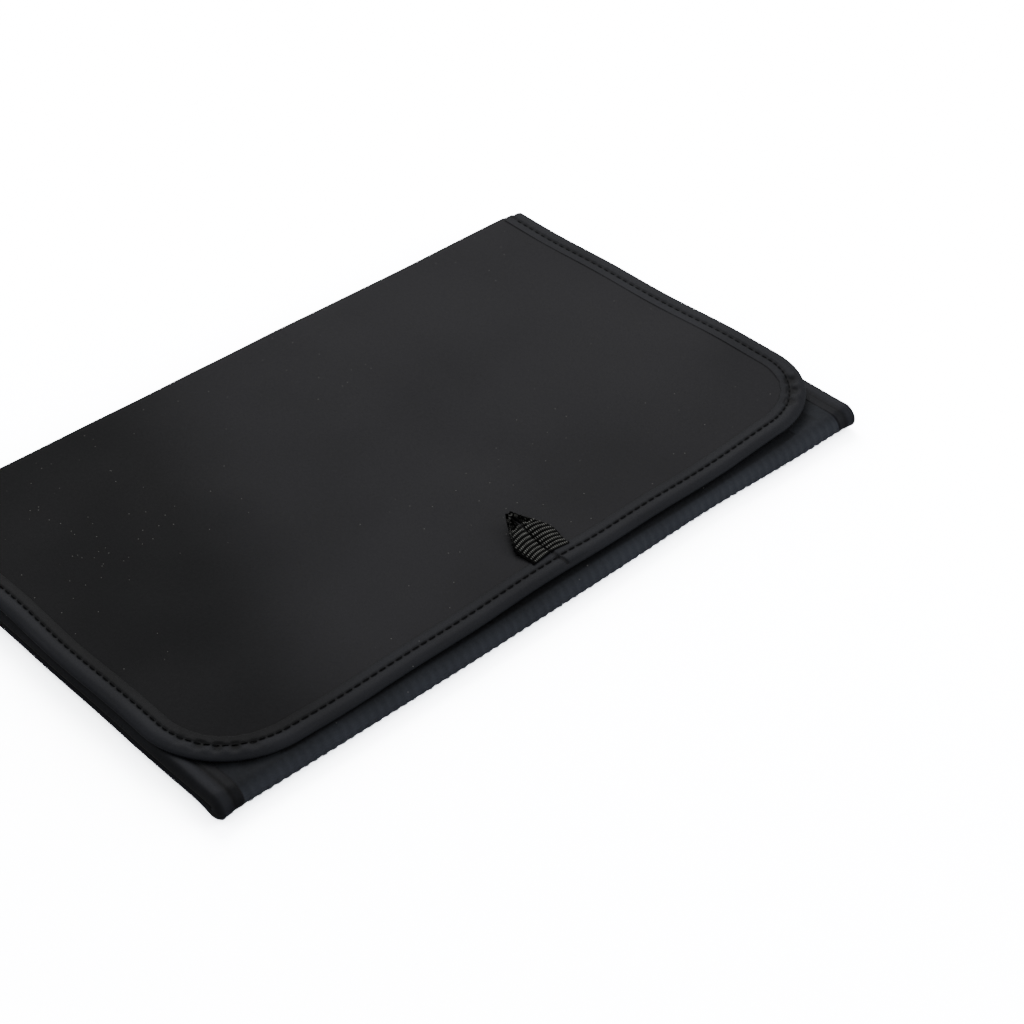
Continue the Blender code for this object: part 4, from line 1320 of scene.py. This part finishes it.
def turned_strip():
    """The strip behind the outer zip: it runs forward over the tape, turns under and runs back."""
    low, high = box_mm("upper_top_rear_panel")
    run, back = high[1] - low[1] + 1.5, 5.0
    arc = half_turn(high[2], high[2] - 0.45)
    s = np.linspace(0.0, run + arc + back, 60)[None, :]
    angle = math.pi * np.clip((s - run) / arc, 0, 1)
    y = high[1] - np.minimum(s, run) - 0.22 * np.sin(angle) + np.maximum(s - run - arc, 0)
    x = np.linspace(low[0], high[0], 110)[:, None]
    z = high[2] - 0.05 - 0.225 * (1 - np.cos(angle)) + 0.04 * ripple(x, y, 54, 50.0)
    out = np.stack([0 * z, -np.sin(angle) + 0 * z, np.cos(angle) + 0 * z], -1)
    strip = surface("zip_rear_cloth", np.stack([x + 0 * y, y + 0 * x, z], -1), out)
    dress(strip, SHELL, "upper_section", ("upper_top_rear_panel",))
    return thicken(strip, 0.18)


layers.append(turned_strip())
print("inner cloths:", [p.name for p in layers])

# %% End seam of the lower half
seam_low, seam_high = box_mm("lower_end_seam")
seam_x = np.linspace(seam_low[0], seam_high[0], 220)[:, None]
around = np.linspace(0.0, 1.0, 30)[None, :]
bend = math.pi * np.clip((around - 0.3) / 0.4, 0, 1)
END_LEG = 8.0                               # each leg of the end binding
flat_run = END_LEG * np.maximum(np.clip(1 - around / 0.3, 0, 1), np.clip((around - 0.7) / 0.3, 0, 1))
seam_half = (seam_high[2] - seam_low[2]) / 2
seam_y = seam_high[1] - 1.3 - flat_run + 1.3 * np.sin(bend) + 0.15 * ripple(seam_x, around, 61, 40.0)
seam_z = (seam_low[2] + seam_high[2]) / 2 + (seam_half + 0.1 - 0.15 * bell(flat_run, 4.5, 0.8)) * np.cos(bend)
seam_grid = np.stack([seam_x + 0 * seam_y, seam_y, seam_z + 0 * seam_x], -1)
seam_out = np.stack([0 * seam_y, np.sin(bend) + 0 * seam_y, np.cos(bend) + 0 * seam_y], -1)
end_seam = thicken(surface("bag_end_binding", seam_grid, seam_out), 0.25)
dress(end_seam, BINDING, "lower_section", ("lower_end_seam",))

# %% [markdown]
# ## Hook and loop
# The flap is held shut by a strip of hooks on its lining, which catches a strip of loops on the bag.
# The hooks are real: a grid of short bent hairs, one small mesh repeated by adding each place to
# the same few points. The loops are a rough pile.

# %% Hook and loop strips
PILE = cloth("loop_pile", (0.010, 0.010, 0.011), (0.022, 0.022, 0.024), 0.85, threads=1500, weave_depth=0.25,
             sheen=0.3, grain_depth=0.25)
HOOK = cloth("hook_tape", (0.012, 0.012, 0.013), (0.02, 0.02, 0.022), 0.45, threads=1300, weave_depth=0.06)


def strip_base(name, node, mat, body):
    """A strip with round corners, as a stacked block."""
    low, high = box_mm(node)
    thin = high[2] - low[2]
    heights = [low[2], low[2] + 0.25 * thin, low[2] + 0.75 * thin, high[2]]
    stacked_block(name, rounded_outline(low, high, 2.0), heights, [0.15, 0, 0, 0.15], mat, body,
                  (node,))


strip_base("loop_tape", "loop_strip", PILE, "upper_section")
strip_base("hook_tape", "hook_strip", HOOK, "flap")
hook_low, hook_high = box_mm("hook_strip")


def hooks(low, high, pitch=1.5):
    """Bent hairs: four rings of three points each, from the tape down and over."""
    xs = np.arange(low[0] + 2, high[0] - 2, pitch)
    ys = np.arange(low[1] + 2, high[1] - 2, pitch)
    places = np.stack([g.ravel() for g in np.meshgrid(xs, ys)] + [np.full(len(xs) * len(ys), low[2])], -1)
    bend = np.array([[0, 0, 0.02], [0, 0.02, -0.12], [0.02, 0.12, -0.2], [0.04, 0.24, -0.17]])
    turn = np.arange(3) * 2 * math.pi / 3
    ring = np.stack([np.cos(turn), np.sin(turn), 0 * turn], -1) * 0.055
    one = (bend[:, None] + ring[None]).reshape(-1, 3)
    points = (places[:, None] + one[None]).reshape(-1, 3)
    piece = mesh_piece("hook_hairs", points, copies(grid_quads(4, 3, ring=True), 12, len(places)))
    return dress(piece, HOOK, "flap")


hook_field = hooks(hook_low, hook_high)
print("hooks:", len(hook_field.data.polygons) // 9)

# %% [markdown]
# ## The cutting pattern
# Each cloth was cut flat before it was sewn, so it has a flat size of its own. The sizes here come
# from how such a bag is cut, and not from the meshes: a panel's run in the frame, half a turn where
# it goes round a fold, a hem at each sewn end, and the full width to the outside of the bindings.

# %% Cut sizes, and how each cloth is held
HEM = 6.0                                   # cloth turned into one seam
HAND_ROUND = 213.0                          # a hand passes a cuff of this circumference
WIDE = 2 * HALF


def run_of(node):
    """How far a plate runs from front to back."""
    low, high = box_mm(node)
    return high[1] - low[1]


def cut(names, width, length, held):
    """Print the cut of some pieces of cloth; sizes in millimetres."""
    print(f"{', '.join(names)}: cut {width:.0f} x {length:.0f} mm, {held}")


flap_run = FLAP_BACK - FLAP_FRONT
flap_length = flap_run + half_turn(FLAP_Z, UPPER_LOW) + HEM
cut(["flap_outer_cloth"], 2 * FLAP_X, flap_length, "folded")
cut(["flap_lining_cloth"], 2 * FLAP_X, flap_run + HEM, "laid")
edge_run = 2 * (flap_run - CORNER) + math.pi * CORNER + 2 * (FLAP_X - CORNER)
cut(["flap_binding_tape"], 2 * BINDING_WIDTH + half_turn(FLAP_Z, LINING_Z), edge_run + 2 * HEM, "folded")

outer_run = run_of("upper_top_front_panel") + run_of("lower_outer_panel") + half_turn(UPPER_HIGH, LOWER_LOW)
cut(["bag_front_cloth"], WIDE, outer_run + 2 * HEM, "folded")
inner_run = run_of("upper_underside_panel") + run_of("lower_inner_panel") + half_turn(UPPER_LOW, LOWER_HIGH)
cut(["bag_back_cloth"], WIDE, inner_run + 2 * HEM, "folded")
side_width = 2 * BINDING_WIDTH + half_turn(UPPER_HIGH, UPPER_LOW)
straight = BODY_BACK - TURN_Y
fold_length = straight * (1 - FOLD_FROM + FOLD_TO - 2) + half_turn(TOP_MID, LOW_MID)
for label in ("left", "right"):
    cut([f"bag_binding_{label}_upper"], side_width, straight, "folded")
    cut([f"bag_binding_{label}_fold"], side_width, fold_length, "folded")
    cut([f"bag_binding_{label}_lower"], side_width, straight, "folded")
cut(["bag_end_binding"], 2 * END_LEG + half_turn(seam_high[2], seam_low[2]), WIDE, "folded")

cut(["liner_under_cloth"], WIDE, run_of("liner_bottom_panel") + 2 * HEM, "laid")
cut(["liner_front_cloth"], WIDE, run_of("liner_top_front_panel") + 2 * HEM, "laid")
cut(["liner_rear_cloth"], WIDE, run_of("liner_top_rear_panel") + 2 * HEM, "laid")
cut(["zip_rear_cloth"], WIDE, run_of("upper_top_rear_panel") + 2 * HEM, "folded")
cut(["lower_liner_cloth"], WIDE, run_of("lower_liner") + 2 * HEM, "laid")
tape_length = box_mm("outer_zip_tape_front")[1][0] - box_mm("outer_zip_tape_front")[0][0]
for label, below in (("outer", "liner_rear_cloth"), ("inner", "liner_under_cloth")):
    cut([f"{label}_zip_tape_cloth_front", f"{label}_zip_tape_cloth_rear"],
        run_of(f"{label}_zip_tape_front") + TAPE_SEWN, tape_length, "laid")
hook_size = hook_high - hook_low
cut(["loop_tape"], hook_size[0], hook_size[1], "laid")
cut(["hook_tape"], hook_size[0], hook_size[1], "laid")

for label in ("left", "right"):
    root_low, root_high = box_mm(f"sleeve_{label}_under_layer")
    root = 2 * (root_high[0] - root_low[0]) + 2 * HEM
    wrist = HAND_ROUND + 2 * HEM
    length = root_high[1] - root_low[1] + 2 * HEM
    cut([f"sleeve_{label}"], root, length, "gathered")
    cut([f"cuff_{label}"], wrist, run_of(f"cuff_{label}_under_half") + 2 * HEM, "gathered")
    cut([f"sleeve_web_{label}"], root_high[0] - root_low[0], 2 * HEM, "folded")

# %% [markdown]
# ## Finish the parts of the frame that still show
# The wrist elastics stay as they are, inside the cuffs, with a braided finish.

# %% Finish of the frame's own parts
for label in ("left", "right"):
    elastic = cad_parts[f"wrist_elastic_{label}"]
    for entry in elastic.material_slots:
        entry.material = ELASTIC
still_shown = sorted(n for n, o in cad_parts.items() if not o.hide_render)
print("frame parts that show:", still_shown)
